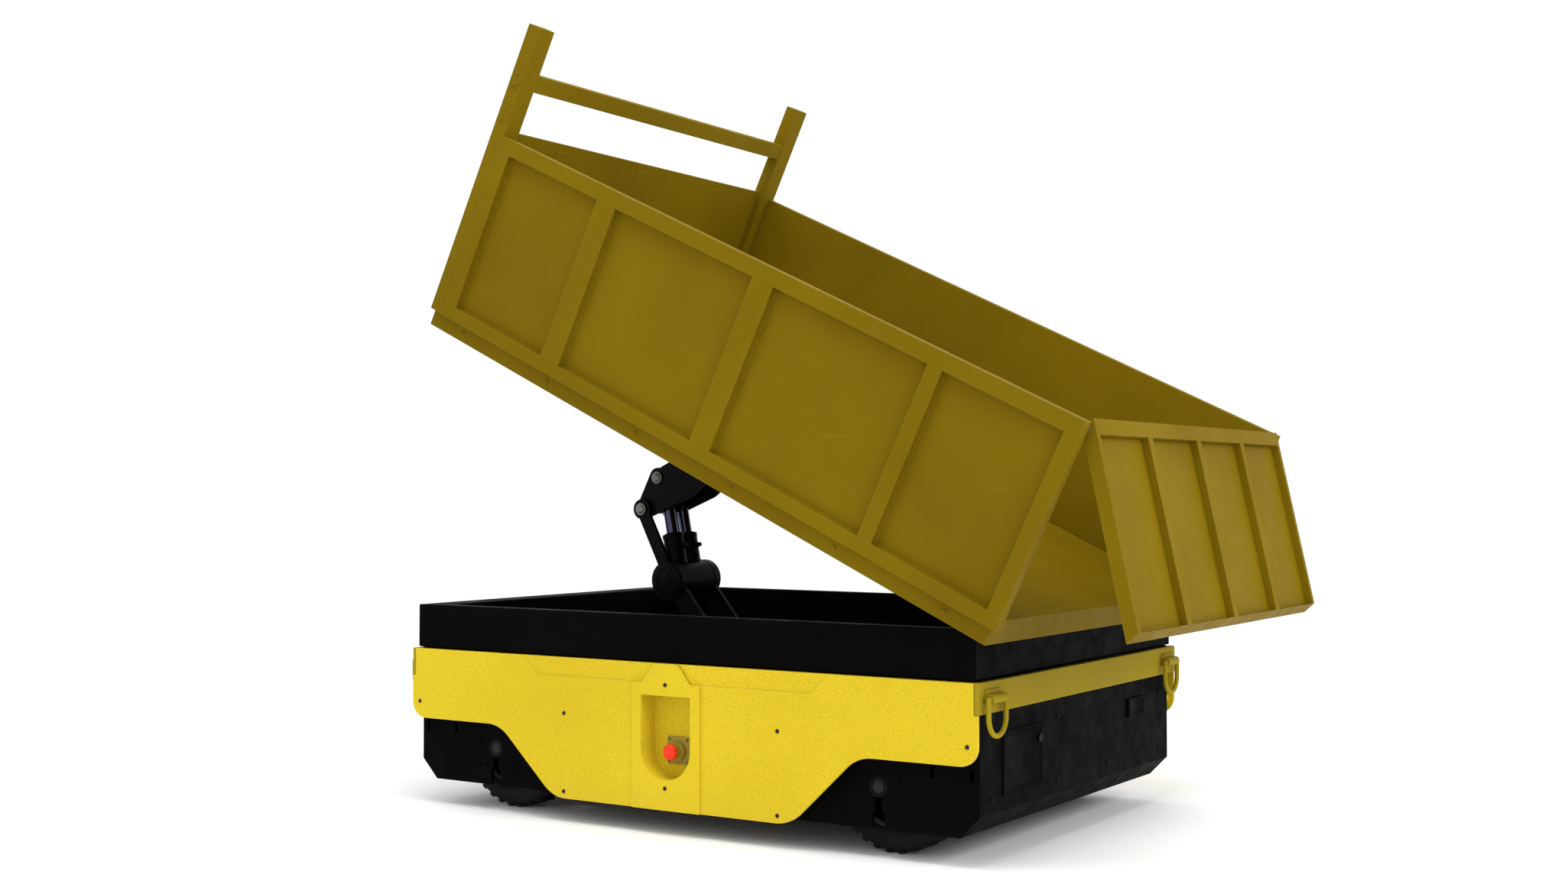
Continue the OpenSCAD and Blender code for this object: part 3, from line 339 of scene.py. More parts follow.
class Workshop:
    """Modelling moves shared by the sub-assemblies, and the hand-over of each finished piece."""

    def __init__(self) -> None:
        """Reads which body each CAD node rides on."""
        self.shelf = FinishShelf()
        bodies = frame["record"]["behaviour"]["bodies"]
        self.body_of = {node: body for body, nodes in bodies.items() for node in nodes}
        self.slot_of = {part["node"]: part["material_slot"] for part in frame["record"]["subparts"]}
        self.joints = {joint["name"]: joint for joint in frame["joints"]}
        self.count = 0

    @staticmethod
    def hold(piece: bpy.types.Object) -> None:
        """Makes a piece the only selected one and the active one."""
        bpy.ops.object.select_all(action="DESELECT")
        piece.select_set(True)
        bpy.context.view_layer.objects.active = piece

    def settle(self, piece: bpy.types.Object, place: Matrix) -> bpy.types.Object:
        """Puts a piece in its place, with the place in its mesh."""
        self.hold(piece)
        piece.matrix_world = place
        bpy.ops.object.transform_apply(location=True, rotation=True, scale=True)
        return piece

    def soften(self, piece: bpy.types.Object, width: float, segments: int = 2, angle: float = 32.0) -> None:
        """Rounds a piece's sharp edges.

        Args:
            piece: The piece.
            width: Width of the rounding in metres.
            segments: Steps in the rounding.
            angle: Edges sharper than this many degrees are rounded.
        """
        self.hold(piece)
        bevel = piece.modifiers.new("edges", "BEVEL")
        bevel.width = width
        bevel.segments = segments
        bevel.limit_method = "ANGLE"
        bevel.angle_limit = math.radians(angle)
        bevel.harden_normals = False
        bpy.ops.object.modifier_apply(modifier=bevel.name)
        bpy.ops.object.shade_smooth_by_angle(angle=math.radians(38))
        weigh = piece.modifiers.new("flat_faces", "WEIGHTED_NORMAL")
        weigh.keep_sharp = True
        weigh.weight = 90
        bpy.ops.object.modifier_apply(modifier=weigh.name)

    def bar(self, name: str, low: Sequence[float], high: Sequence[float], edge: float = 0.001,
            segments: int = 2) -> bpy.types.Object:
        """Makes a rectangular bar with rounded edges.

        Args:
            name: The piece's name.
            low: Its lowest corner.
            high: Its highest corner.
            edge: Width of the edge rounding.
            segments: Steps in the rounding.

        Returns:
            The piece.
        """
        bpy.ops.object.select_all(action="DESELECT")
        middle = [(a + b) / 2 for a, b in zip(low, high)]
        bpy.ops.mesh.primitive_cube_add(size=1.0, location=middle)
        piece = bpy.context.active_object
        piece.name = name
        piece.scale = [b - a for a, b in zip(low, high)]
        bpy.ops.object.transform_apply(location=True, rotation=True, scale=True)
        self.soften(piece, edge, segments)
        return piece

    def turned(self, name: str, profile: Sequence[tuple[float, float]], steps: int = 40,
               edge: float = 0.0) -> bpy.types.Object:
        """Turns a closed shape about Z from a list of radii and heights.

        Args:
            name: The piece's name.
            profile: (radius, height) from the bottom up.
            steps: Facets round the piece.
            edge: Width of the edge rounding, or 0.

        Returns:
            The piece.
        """
        bpy.ops.object.select_all(action="DESELECT")
        radius, level = profile[0]
        bpy.ops.mesh.primitive_circle_add(vertices=steps, radius=radius, fill_type="NGON", location=(0, 0, level))
        piece = bpy.context.active_object
        piece.name = name
        bpy.ops.object.transform_apply(location=True, rotation=True, scale=True)
        bpy.ops.object.mode_set(mode="EDIT")
        bpy.ops.mesh.select_mode(type="FACE")
        bpy.ops.mesh.select_all(action="SELECT")
        for wide, high in profile[1:]:
            bpy.ops.mesh.extrude_region_move(TRANSFORM_OT_translate={"value": (0, 0, high - level)})
            share = wide / radius
            bpy.ops.transform.resize(value=(share, share, 1.0), center_override=(0, 0, high))
            radius, level = wide, high
        bpy.ops.mesh.select_all(action="SELECT")
        bpy.ops.mesh.normals_make_consistent(inside=False)
        bpy.ops.object.mode_set(mode="OBJECT")
        if edge:
            self.soften(piece, edge)
        else:
            self.hold(piece)
            bpy.ops.object.shade_smooth_by_angle(angle=math.radians(38))
        return piece

    def repeated(self, name: str, pattern: bpy.types.Object, places: Iterable[Matrix]) -> bpy.types.Object:
        """Copies a pattern to each place and joins the copies to one piece.

        Args:
            name: The joined piece's name.
            pattern: The piece to copy, which is used up.
            places: Where each copy goes.

        Returns:
            The joined piece.
        """
        copies = []
        for place in places:
            copy = pattern.copy()
            copy.data = pattern.data.copy()
            bpy.context.scene.collection.objects.link(copy)
            copy.matrix_world = place
            copies.append(copy)
        bpy.data.objects.remove(pattern)
        bpy.context.view_layer.update()
        bpy.ops.object.select_all(action="DESELECT")
        for copy in copies:
            copy.select_set(True)
        bpy.context.view_layer.objects.active = copies[0]
        bpy.ops.object.transform_apply(location=True, rotation=True, scale=True)
        if len(copies) > 1:
            bpy.ops.object.join()
        joined = bpy.context.active_object
        joined.name = name
        return joined

    def hand_over(self, piece: bpy.types.Object, body: str, slot: str, finish: Finish) -> bpy.types.Object:
        """Dresses a piece, and says what it rides on.

        Args:
            piece: The finished piece.
            body: The body that carries it.
            slot: The record's material slot; not used.
            finish: Its finish.

        Returns:
            The piece.
        """
        piece.data.materials.clear()
        piece.data.materials.append(self.shelf.get(finish))
        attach(piece, body)
        self.count += 1
        log.info("piece %s rides on %s", piece.name, body)
        return piece

    def refine(self, node: str, finish: Finish, edge: float, segments: int = 2) -> bpy.types.Object:
        """Makes a clean, rounded copy of a CAD node stand for it.

        Args:
            node: The CAD node's name.
            finish: The copy's finish.
            edge: Width of its edge rounding.
            segments: Steps in the rounding.

        Returns:
            The copy.
        """
        source = frame["nodes"][node]
        piece = source.copy()
        piece.data = source.data.copy()
        piece.parent = None
        for key in list(piece.keys()):
            del piece[key]
        piece.matrix_world = Matrix.Identity(4)
        piece.name = node + "_finished"
        bpy.context.scene.collection.objects.link(piece)
        self.hold(piece)
        bpy.ops.object.mode_set(mode="EDIT")
        bpy.ops.mesh.select_mode(type="VERT")
        bpy.ops.mesh.select_all(action="SELECT")
        bpy.ops.mesh.remove_doubles(threshold=0.00001)
        bpy.ops.mesh.dissolve_limited(angle_limit=math.radians(0.4))
        bpy.ops.mesh.select_all(action="SELECT")
        bpy.ops.mesh.customdata_custom_splitnormals_clear()
        bpy.ops.object.mode_set(mode="OBJECT")
        self.soften(piece, edge, segments)
        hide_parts(node)
        return self.hand_over(piece, self.body_of[node], self.slot_of[node], finish)

    def repaint(self, node: str, finish: Finish) -> None:
        """Gives a CAD node its finish, with its shape as it is."""
        data = frame["nodes"][node]
        if not data.material_slots:
            data.data.materials.append(self.shelf.get(finish))
        for slot in data.material_slots:
            slot.material = self.shelf.get(finish)


@dataclass(frozen=True)
class Layout:
    """Places read from the frame: the chassis' middle, the tilted bed, the gate and the hoist."""

    shift: float
    bed: Matrix
    gate: Matrix
    hoist: Matrix
    wheel_z: float

    @staticmethod
    def read(shop: Workshop, tilt: float = 25.43, swing: float = 12.3) -> "Layout":
        """Reads the layout.

        Args:
            shop: The workshop, which knows the joints.
            tilt: The bed's tilt at rest in degrees.
            swing: The gate's swing past plumb at rest in degrees.

        Returns:
            The layout.
        """
        low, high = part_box("deck_frame")
        hinge = Vector(shop.joints["bed_tilt"]["pos_m"])
        turn = Matrix.Rotation(math.radians(tilt), 4, "Y")
        corner = hinge - turn @ Vector((-0.0984, 0.0, 0.0146))
        pivot = Vector(shop.joints["tailgate_swing"]["pos_m"])
        back = Matrix.Rotation(math.radians(-swing), 4, "Y")
        stroke = Vector(shop.joints["rod_stroke"]["axis"])
        lean = Matrix.Rotation(math.atan2(stroke.x, stroke.z), 4, "Y")
        elbow = Vector(shop.joints["barrel_lean"]["pos_m"])
        wheel = shop.joints["wheel_rear_left_roll"]["pos_m"][2]
        return Layout((low.x + high.x) / 2, Matrix.Translation(corner) @ turn, Matrix.Translation(pivot) @ back,
                      Matrix.Translation(elbow) @ lean, wheel)


TO_LEFT = Matrix.Rotation(math.radians(90), 4, "X")
TO_RIGHT = Matrix.Rotation(math.radians(-90), 4, "X")
TO_REAR = Matrix.Rotation(math.radians(90), 4, "Y")


def move(x: float, y: float, z: float) -> Matrix:
    """A plain move."""
    return Matrix.Translation((x, y, z))


# ---------------------------------------------------------------- hardware


@dataclass(frozen=True)
class Hardware:
    """Bolts, screws and nuts, each standing on Z = 0 along +Z."""

    shop: Workshop

    def hex_bolt(self, across: float, height: float) -> bpy.types.Object:
        """A hexagon bolt head on a washer."""
        washer = self.shop.turned("washer", [(across * 0.98, 0.0), (across * 0.98, height * 0.22)], 24, height * 0.06)
        head = self.shop.turned("head", [(across * 0.62, height * 0.2), (across * 0.62, height * 0.86),
                                         (across * 0.54, height)], 6, height * 0.05)
        return self.shop.repeated("bolt", *self.pair(washer, head))

    def button_screw(self, radius: float, height: float) -> bpy.types.Object:
        """A button-head screw with a hexagon socket."""
        head = self.shop.turned("screw", [(radius, 0.0), (radius, height * 0.35), (radius * 0.86, height * 0.75),
                                          (radius * 0.62, height)], 32)
        self.shop.hold(head)
        bpy.ops.object.mode_set(mode="EDIT")
        bpy.ops.mesh.select_mode(type="FACE")
        bpy.ops.mesh.select_all(action="DESELECT")
        bpy.ops.object.mode_set(mode="OBJECT")
        for face in head.data.polygons:
            face.select = face.normal.z > 0.99 and face.center.z > height * 0.9
        bpy.ops.object.mode_set(mode="EDIT")
        bpy.ops.mesh.inset(thickness=radius * 0.22, depth=0.0)
        bpy.ops.mesh.inset(thickness=0.0, depth=-height * 0.6)
        bpy.ops.object.mode_set(mode="OBJECT")
        return head

    @staticmethod
    def pair(first: bpy.types.Object, second: bpy.types.Object) -> tuple[bpy.types.Object, list[Matrix]]:
        """Joins two parts to one pattern, ready to be placed once."""
        bpy.ops.object.select_all(action="DESELECT")
        first.select_set(True)
        second.select_set(True)
        bpy.context.view_layer.objects.active = first
        bpy.ops.object.join()
        return first, [Matrix.Identity(4)]


# ---------------------------------------------------------------- chassis


@dataclass
class Chassis:
    """The black chassis, its yellow covers, bands, stop buttons and lashing rings."""

    shop: Workshop
    layout: Layout
    tools: Hardware
    cover_face: float = 0.5905
    panel_face: float = 0.5965
    plate_face: float = 0.560
    end_face: float = 0.840
    sheet_edge: float = 0.0011
    black_nodes: tuple[str, ...] = ("side_plate_left", "side_plate_right", "end_cover_front", "end_cover_rear",
                                    "belly_pan", "wheel_walls", "bay_walls", "hinge_ears")
    cover_nodes: tuple[str, ...] = ("side_cover_left", "side_cover_right", "middle_panel_left",
                                    "middle_panel_right", "recess_box_left", "recess_box_right")

    def build(self) -> None:
        """Builds the chassis' pieces."""
        for node in self.black_nodes:
            self.shop.refine(node, Finish.BLACK, 0.0016)
        self.shop.refine("deck_frame", Finish.BLACK, 0.0045, 3)
        for node in self.cover_nodes:
            self.shop.refine(node, Finish.COVER, self.sheet_edge if "cover" in node else 0.0016)
        for node in ("band_front", "band_rear"):
            self.shop.refine(node, Finish.BAND, 0.003, 3)
        self.shop.refine("ring_lugs", Finish.BAND, 0.0018)
        for node in ("ring_front_left", "ring_front_right", "ring_rear_left", "ring_rear_right"):
            self.shop.repaint(node, Finish.BAND)
        self.shop.repaint("rest_pads", Finish.RUBBER)
        self.screws()
        self.bolts()
        self.rear_face()
        self.stop_buttons()
        self.deck_gussets()

    def sides(self) -> tuple[tuple[str, int, Matrix], ...]:
        """The two sides, each with its sign and the turn that faces a part outwards."""
        return (("left", -1, TO_LEFT), ("right", 1, TO_RIGHT))

    def screws(self) -> None:
        """Button-head screws on the side covers and middle panels."""
        x0 = self.layout.shift
        cover = [(-0.824, 0.276), (0.824, 0.276), (-0.324, 0.276), (0.324, 0.276), (-0.324, 0.078), (0.324, 0.078)]
        panel = [(0.0, 0.366), (0.0, 0.114)]
        places = [move(x0 + x, s * face, z) @ turn for _, s, turn in self.sides()
                  for spots, face in ((cover, self.cover_face), (panel, self.panel_face)) for x, z in spots]
        piece = self.shop.repeated("cover_screw_heads", self.tools.button_screw(0.0052, 0.0024), places)
        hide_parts("cover_screws")
        self.shop.hand_over(piece, "chassis", "pin_steel", Finish.DARK_STEEL)

    def bolts(self) -> None:
        """Bolts round the axle bearings, and the bearings' caps."""
        spots = [(-0.055, 0.019), (0.055, 0.019), (-0.032, -0.045), (0.032, -0.045), (-0.056, -0.045),
                 (0.056, -0.045)]
        x0, z0 = self.layout.shift, self.layout.wheel_z
        places = [move(x0 + axle + x, s * self.plate_face, z0 + z) @ turn
                  for _, s, turn in self.sides() for axle in (-0.58, 0.58) for x, z in spots]
        piece = self.shop.repeated("side_plate_bolt_heads", self.tools.hex_bolt(0.0062, 0.005), places)
        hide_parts("side_plate_bolts")
        self.shop.hand_over(piece, "chassis", "chassis_black", Finish.BLACK)
        self.shop.refine("wheel_bearings", Finish.HOIST, 0.001)

    def rear_face(self) -> None:
        """The charging door and socket flap on the rear cover, and screws on both end covers."""
        x = self.layout.shift + self.end_face
        door = self.shop.bar("charge_door", (x - 0.001, -0.448, 0.150), (x + 0.0035, -0.237, 0.297), 0.0015, 2)
        self.recess(door, 0.012, 0.0016)
        self.shop.hand_over(door, "chassis", "chassis_black", Finish.BLACK)
        latch = self.shop.turned("charge_door_latch", [(0.011, 0.0), (0.011, 0.004), (0.008, 0.0055)], 32, 0.0006)
        self.shop.settle(latch, move(x + 0.0025, -0.258, 0.262) @ TO_REAR)
        self.shop.hand_over(latch, "chassis", "pin_steel", Finish.HOIST)
        flap = self.shop.bar("socket_flap", (x - 0.001, 0.279, 0.252), (x + 0.006, 0.383, 0.302), 0.002, 3)
        self.recess(flap, 0.008, 0.001)
        self.shop.hand_over(flap, "chassis", "chassis_black", Finish.BLACK)
        screw = self.tools.button_screw(0.006, 0.0028)
        spots = [(-0.50, 0.30), (-0.50, 0.15), (0.50, 0.30), (0.50, 0.15), (-0.15, 0.30), (0.15, 0.30), (-0.15, 0.15),
                 (0.15, 0.15)]
        places = [move(x, y, z) @ TO_REAR for y, z in spots]
        back = Matrix.Rotation(math.radians(-90), 4, "Y")
        places += [move(self.layout.shift - self.end_face, y, z) @ back for y, z in spots]
        piece = self.shop.repeated("end_cover_screws", screw, places)
        self.shop.hand_over(piece, "chassis", "pin_steel", Finish.HOIST)

    def recess(self, piece: bpy.types.Object, border: float, depth: float) -> None:
        """Presses a shallow panel into a plate's outer face.

        Args:
            piece: The plate, facing +X.
            border: Width of the border left round the panel.
            depth: Depth of the pressing.
        """
        top = max(vertex.co.x for vertex in piece.data.vertices)
        self.shop.hold(piece)
        bpy.ops.object.mode_set(mode="EDIT")
        bpy.ops.mesh.select_mode(type="FACE")
        bpy.ops.mesh.select_all(action="DESELECT")
        bpy.ops.object.mode_set(mode="OBJECT")
        for face in piece.data.polygons:
            face.select = face.normal.x > 0.99 and abs(face.center.x - top) < 0.0004
        bpy.ops.object.mode_set(mode="EDIT")
        bpy.ops.mesh.inset(thickness=border, depth=0.0)
        bpy.ops.mesh.inset(thickness=depth * 1.2, depth=-depth)
        bpy.ops.object.mode_set(mode="OBJECT")

    def stop_buttons(self) -> None:
        """The stop buttons with their plates, screws and collars."""
        x0 = self.layout.shift
        for name, sign, turn in self.sides():
            face = sign * 0.5695
            self.shop.refine("stop_plate_" + name, Finish.WARNING, 0.001)
            self.shop.refine("stop_collar_" + name, Finish.WARNING, 0.0016)
            screw = self.tools.button_screw(0.0036, 0.0018)
            places = [move(x0 + x, sign * 0.5405, 0.200 + z) @ turn for x in (-0.027, 0.027) for z in (-0.027, 0.027)]
            screws = self.shop.repeated("stop_plate_screws_" + name, screw, places)
            self.shop.hand_over(screws, "chassis", "pin_steel", Finish.STEEL)
            head = self.shop.turned("stop_mushroom_" + name, [
                (0.009, -0.028), (0.009, -0.001), (0.0165, 0.0), (0.0192, 0.002), (0.0199, 0.0055), (0.0190, 0.0095),
                (0.0160, 0.0130), (0.0115, 0.0155), (0.0108, 0.0150), (0.0100, 0.0156), (0.0060, 0.0172),
                (0.0020, 0.0178)], 64)
            self.shop.settle(head, move(x0, face, 0.200) @ turn)
            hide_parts("stop_button_" + name)
            self.shop.hand_over(head, "stop_button_" + name, "stop_red", Finish.RED)

    def deck_gussets(self) -> None:
        """Corner gussets with bolts inside the deck frame, under its top."""
        x0 = self.layout.shift
        places = []
        for sx in (-1, 1):
            for sy in (-1, 1):
                places.append(move(x0 + sx * 0.735, sy * 0.516, 0.500))
        plate = self.shop.bar("gusset", (-0.025, -0.025, -0.004), (0.025, 0.025, 0.004), 0.0015)
        bolt = self.tools.hex_bolt(0.008, 0.007)
        self.shop.settle(bolt, move(0, 0, 0.004))
        joined, _ = self.tools.pair(plate, bolt)
        piece = self.shop.repeated("deck_gussets", joined, places)
        self.shop.hand_over(piece, "chassis", "chassis_black", Finish.BLACK)


@dataclass
class Wheels:
    """Four wheels with treaded tyres and cast hubs."""

    shop: Workshop
    layout: Layout
    tools: Hardware
    radius: float = 0.164
    half_width: float = 0.055
    rim: float = 0.105
    blocks: int = 30

    def build(self) -> None:
        """Builds the wheels."""
        for name, x, sign in (("front_left", -0.58, -1), ("front_right", -0.58, 1), ("rear_left", 0.58, -1),
                              ("rear_right", 0.58, 1)):
            turn = TO_LEFT if sign < 0 else TO_RIGHT
            place = move(self.layout.shift + x, sign * 0.445, self.layout.wheel_z) @ turn
            tyre = self.shop.settle(self.tyre(name), place)
            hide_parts("tyre_" + name)
            self.shop.hand_over(tyre, "wheel_" + name, "tyre_rubber", Finish.RUBBER)
            self.shop.refine("hub_" + name, Finish.CAST, 0.0016)
            nut = self.tools.hex_bolt(0.009, 0.010)
            spots = [Matrix.Rotation(math.radians(72 * i + 36), 4, "Z") @ move(0.034, 0, self.half_width - 0.004)
                     for i in range(5)]
            nuts = self.shop.repeated("wheel_nuts_" + name, nut, [place @ spot for spot in spots])
            self.shop.hand_over(nuts, "wheel_" + name, "pin_steel", Finish.STEEL)

    def tyre(self, name: str) -> bpy.types.Object:
        """A ring of rubber with two rows of tread blocks, about Z."""
        w, r = self.half_width, self.radius
        profile = [(self.rim + 0.001, -w + 0.006), (self.rim + 0.010, -w), (r - 0.030, -w + 0.001),
                   (r - 0.012, -w + 0.007), (r - 0.006, -w + 0.018), (r - 0.0055, w - 0.018), (r - 0.012, w - 0.007),
                   (r - 0.030, w - 0.001), (self.rim + 0.010, w), (self.rim + 0.001, w - 0.006)]
        body = self.shop.turned("tyre_body", profile, 72)
        self.shop.hold(body)
        bpy.ops.object.mode_set(mode="EDIT")
        bpy.ops.mesh.select_mode(type="FACE")
        bpy.ops.mesh.select_all(action="DESELECT")
        bpy.ops.object.mode_set(mode="OBJECT")
        for face in body.data.polygons:
            face.select = len(face.vertices) > 10
        bpy.ops.object.mode_set(mode="EDIT")
        bpy.ops.mesh.bridge_edge_loops()
        bpy.ops.mesh.select_all(action="SELECT")
        bpy.ops.mesh.normals_make_consistent(inside=False)
        bpy.ops.object.mode_set(mode="OBJECT")
        block = self.shop.bar("block", (r - 0.009, -0.0075, 0.004), (r - 0.0004, 0.0075, w - 0.014), 0.0012, 1)
        places = []
        for i in range(self.blocks):
            step = 360.0 / self.blocks
            places.append(Matrix.Rotation(math.radians(step * i), 4, "Z"))
            places.append(Matrix.Rotation(math.radians(step * (i + 0.5)), 4, "Z") @ Matrix.Rotation(math.pi, 4, "X"))
        tread = self.shop.repeated("tread", block, places)
        joined, _ = self.tools.pair(body, tread)
        joined.name = "treaded_tyre_" + name
        return joined


@dataclass
class PowerUnit:
    """Motors, batteries, hydraulic unit and control box."""

    shop: Workshop
    layout: Layout
    tools: Hardware

    def build(self) -> None:
        """Builds the power unit's pieces."""
        for node in ("drive_motors", "battery_packs", "hydraulic_unit", "control_box"):
            self.shop.refine(node, Finish.MACHINE, 0.003)
        x0 = self.layout.shift
        fin = self.shop.turned("fin", [(0.067, 0.0), (0.0685, 0.001), (0.0685, 0.004), (0.067, 0.005)], 48)
        places = [move(x0 + x, s * (0.185 + 0.014 * i), self.layout.wheel_z) @ (TO_LEFT if s < 0 else TO_RIGHT)
                  for x in (-0.58, 0.58) for s in (-1, 1) for i in range(7)]
        fins = self.shop.repeated("motor_fins", fin, places)
        self.shop.hand_over(fins, "chassis", "machine_grey", Finish.MACHINE)
        low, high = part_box("battery_packs")
        post = self.shop.turned("post", [(0.011, 0.0), (0.011, 0.006), (0.008, 0.008), (0.008, 0.016)], 24, 0.0006)
        spots = [move(x0 + x, y, high.z) for x in (-0.31, -0.29, -0.01, 0.01, 0.29, 0.31) for y in (-0.26, 0.26)]
        posts = self.shop.repeated("battery_posts", post, spots)
        self.shop.hand_over(posts, "chassis", "pin_steel", Finish.STEEL)
        strap = self.shop.bar("strap", (-0.018, -0.1, 0.0), (0.018, 0.1, 0.003), 0.001)
        top = high.z - 0.012
        straps = self.shop.repeated("battery_straps", strap, [
            move(x0 + x, y, top) for x in (-0.18, 0.18) for y in (-0.26, 0.26)])
        self.shop.hand_over(straps, "chassis", "machine_grey", Finish.DARK_PLASTIC)


# ---------------------------------------------------------------- bed and gate


@dataclass
class Bed:
    """The tipping bed: floor frame, side walls, headboard and hinges."""

    shop: Workshop
    layout: Layout
    tools: Hardware
    length: float = 1.824
    wall_face: float = 0.643
    frame_side: float = 0.620
    panels: tuple[tuple[float, float], ...] = ((0.019, 0.341), (0.381, 0.835), (0.899, 1.353), (1.417, 1.739))
    panel_low: float = 0.079
    panel_high: float = 0.504
    panel_depth: float = 0.020

    def build(self) -> None:
        """Builds the bed's pieces."""
        self.shop.refine("bed_frame", Finish.BED, 0.0025)
        self.shop.refine("bed_floor", Finish.BED, 0.001)
        for node in ("bed_side_left", "bed_side_right", "headboard"):
            self.shop.refine(node, Finish.BED, 0.0032, 3)
        self.shop.refine("bed_bracket", Finish.HOIST, 0.0016)
        self.shop.refine("hinge_pins", Finish.STEEL, 0.0012)
        self.panel_seams()
        self.corner_plates()
        self.front_ribs()
        self.frame_bolts()

    def local(self, u: float, y: float, h: float) -> Matrix:
        """A place on the bed: u forwards from the rear end, h up from the frame's underside."""
        return self.layout.bed @ move(-u, y, h)

    def panel_seams(self) -> None:
        """Weld beads round the inside edges of the pressed side panels."""
        bead = 0.0028
        for name, sign in (("left", -1), ("right", 1)):
            y = sign * (self.wall_face - self.panel_depth)
            parts = []
            for u0, u1 in self.panels:
                for h in (self.panel_low, self.panel_high):
                    parts.append(((-u1, y - bead, h - bead), (-u0, y + bead, h + bead)))
                for u in (u0, u1):
                    parts.append(((-u - bead, y - bead, self.panel_low), (-u + bead, y + bead, self.panel_high)))
            made = [self.shop.bar("bead", low, high, 0.0016, 2) for low, high in parts]
            bpy.ops.object.select_all(action="DESELECT")
            for part in made:
                part.select_set(True)
            bpy.context.view_layer.objects.active = made[0]
            bpy.ops.object.join()
            seam = bpy.context.active_object
            seam.name = "panel_weld_beads_" + name
            self.shop.settle(seam, self.layout.bed)
            self.shop.hand_over(seam, "bed", "bed_yellow", Finish.BED)

    def corner_plates(self) -> None:
        """Small bolted plates where the posts meet the side walls and the cross bar."""
        plate = self.shop.bar("plate", (-0.016, -0.0015, -0.022), (0.016, 0.0015, 0.022), 0.001)
        places = [self.local(self.length - 0.0205, s * 0.6405, h) for s in (-1, 1) for h in (0.600, 0.694)]
        plates = self.shop.repeated("post_plates", plate, places)
        self.shop.hand_over(plates, "bed", "bed_yellow", Finish.BED)
        bolt = self.tools.hex_bolt(0.0055, 0.0045)
        spots = [self.local(self.length - 0.0205, s * 0.642, h + dh) @ (TO_LEFT if s < 0 else TO_RIGHT)
                 for s in (-1, 1) for h in (0.600, 0.694) for dh in (-0.013, 0.013)]
        bolts = self.shop.repeated("post_bolts", bolt, spots)
        self.shop.hand_over(bolts, "bed", "bed_yellow", Finish.BED)

    def front_ribs(self) -> None:
        """Folded stiffeners on the front of the headboard."""
        rib = self.shop.bar("rib", (-0.0125, -0.03, 0.055), (0.0, 0.03, 0.535), 0.004, 3)
        places = [self.local(self.length - 0.0165, y, 0.0) for y in (-0.36, 0.0, 0.36)]
        ribs = self.shop.repeated("headboard_ribs", rib, places)
        self.shop.hand_over(ribs, "bed", "bed_yellow", Finish.BED)

    def frame_bolts(self) -> None:
        """Bolts along the floor frame's sides."""
        bolt = self.tools.hex_bolt(0.0065, 0.0055)
        spots = [self.local(0.12 + 0.3168 * i, s * self.frame_side, 0.0225) @ (TO_LEFT if s < 0 else TO_RIGHT)
                 for s in (-1, 1) for i in range(6)]
        bolts = self.shop.repeated("frame_bolts", bolt, spots)
        self.shop.hand_over(bolts, "bed", "bed_yellow", Finish.BED)


@dataclass
class Tailgate:
    """The top-hung tailgate."""

    shop: Workshop
    layout: Layout
    tools: Hardware
    half_width: float = 0.604
    face: float = 0.024

    def build(self) -> None:
        """Builds the gate's pieces."""
        self.shop.refine("tailgate_frame", Finish.BED, 0.0026, 3)
        self.shop.refine("tailgate_sheet", Finish.BED, 0.001)
        self.shop.refine("tailgate_pins", Finish.STEEL, 0.0008)
        washer = self.shop.turned("washer", [(0.012, 0.0), (0.013, 0.0006), (0.013, 0.0026), (0.012, 0.0032)], 32)
        places = [self.layout.gate @ move(0, s * (self.half_width + 0.0015), 0) @ (TO_LEFT if s < 0 else TO_RIGHT)
                  for s in (-1, 1)]
        washers = self.shop.repeated("gate_pin_washers", washer, places)
        self.shop.hand_over(washers, "tailgate", "pin_steel", Finish.STEEL)
        grip = self.shop.bar("grip", (-0.003, -0.055, -0.006), (0.0, 0.055, 0.006), 0.0014, 3)
        places = [self.layout.gate @ move(-0.0095, y, -0.440) for y in (-0.3, 0.3)]
        grips = self.shop.repeated("gate_catch_plates", grip, places)
        self.shop.hand_over(grips, "tailgate", "bed_yellow", Finish.BED)


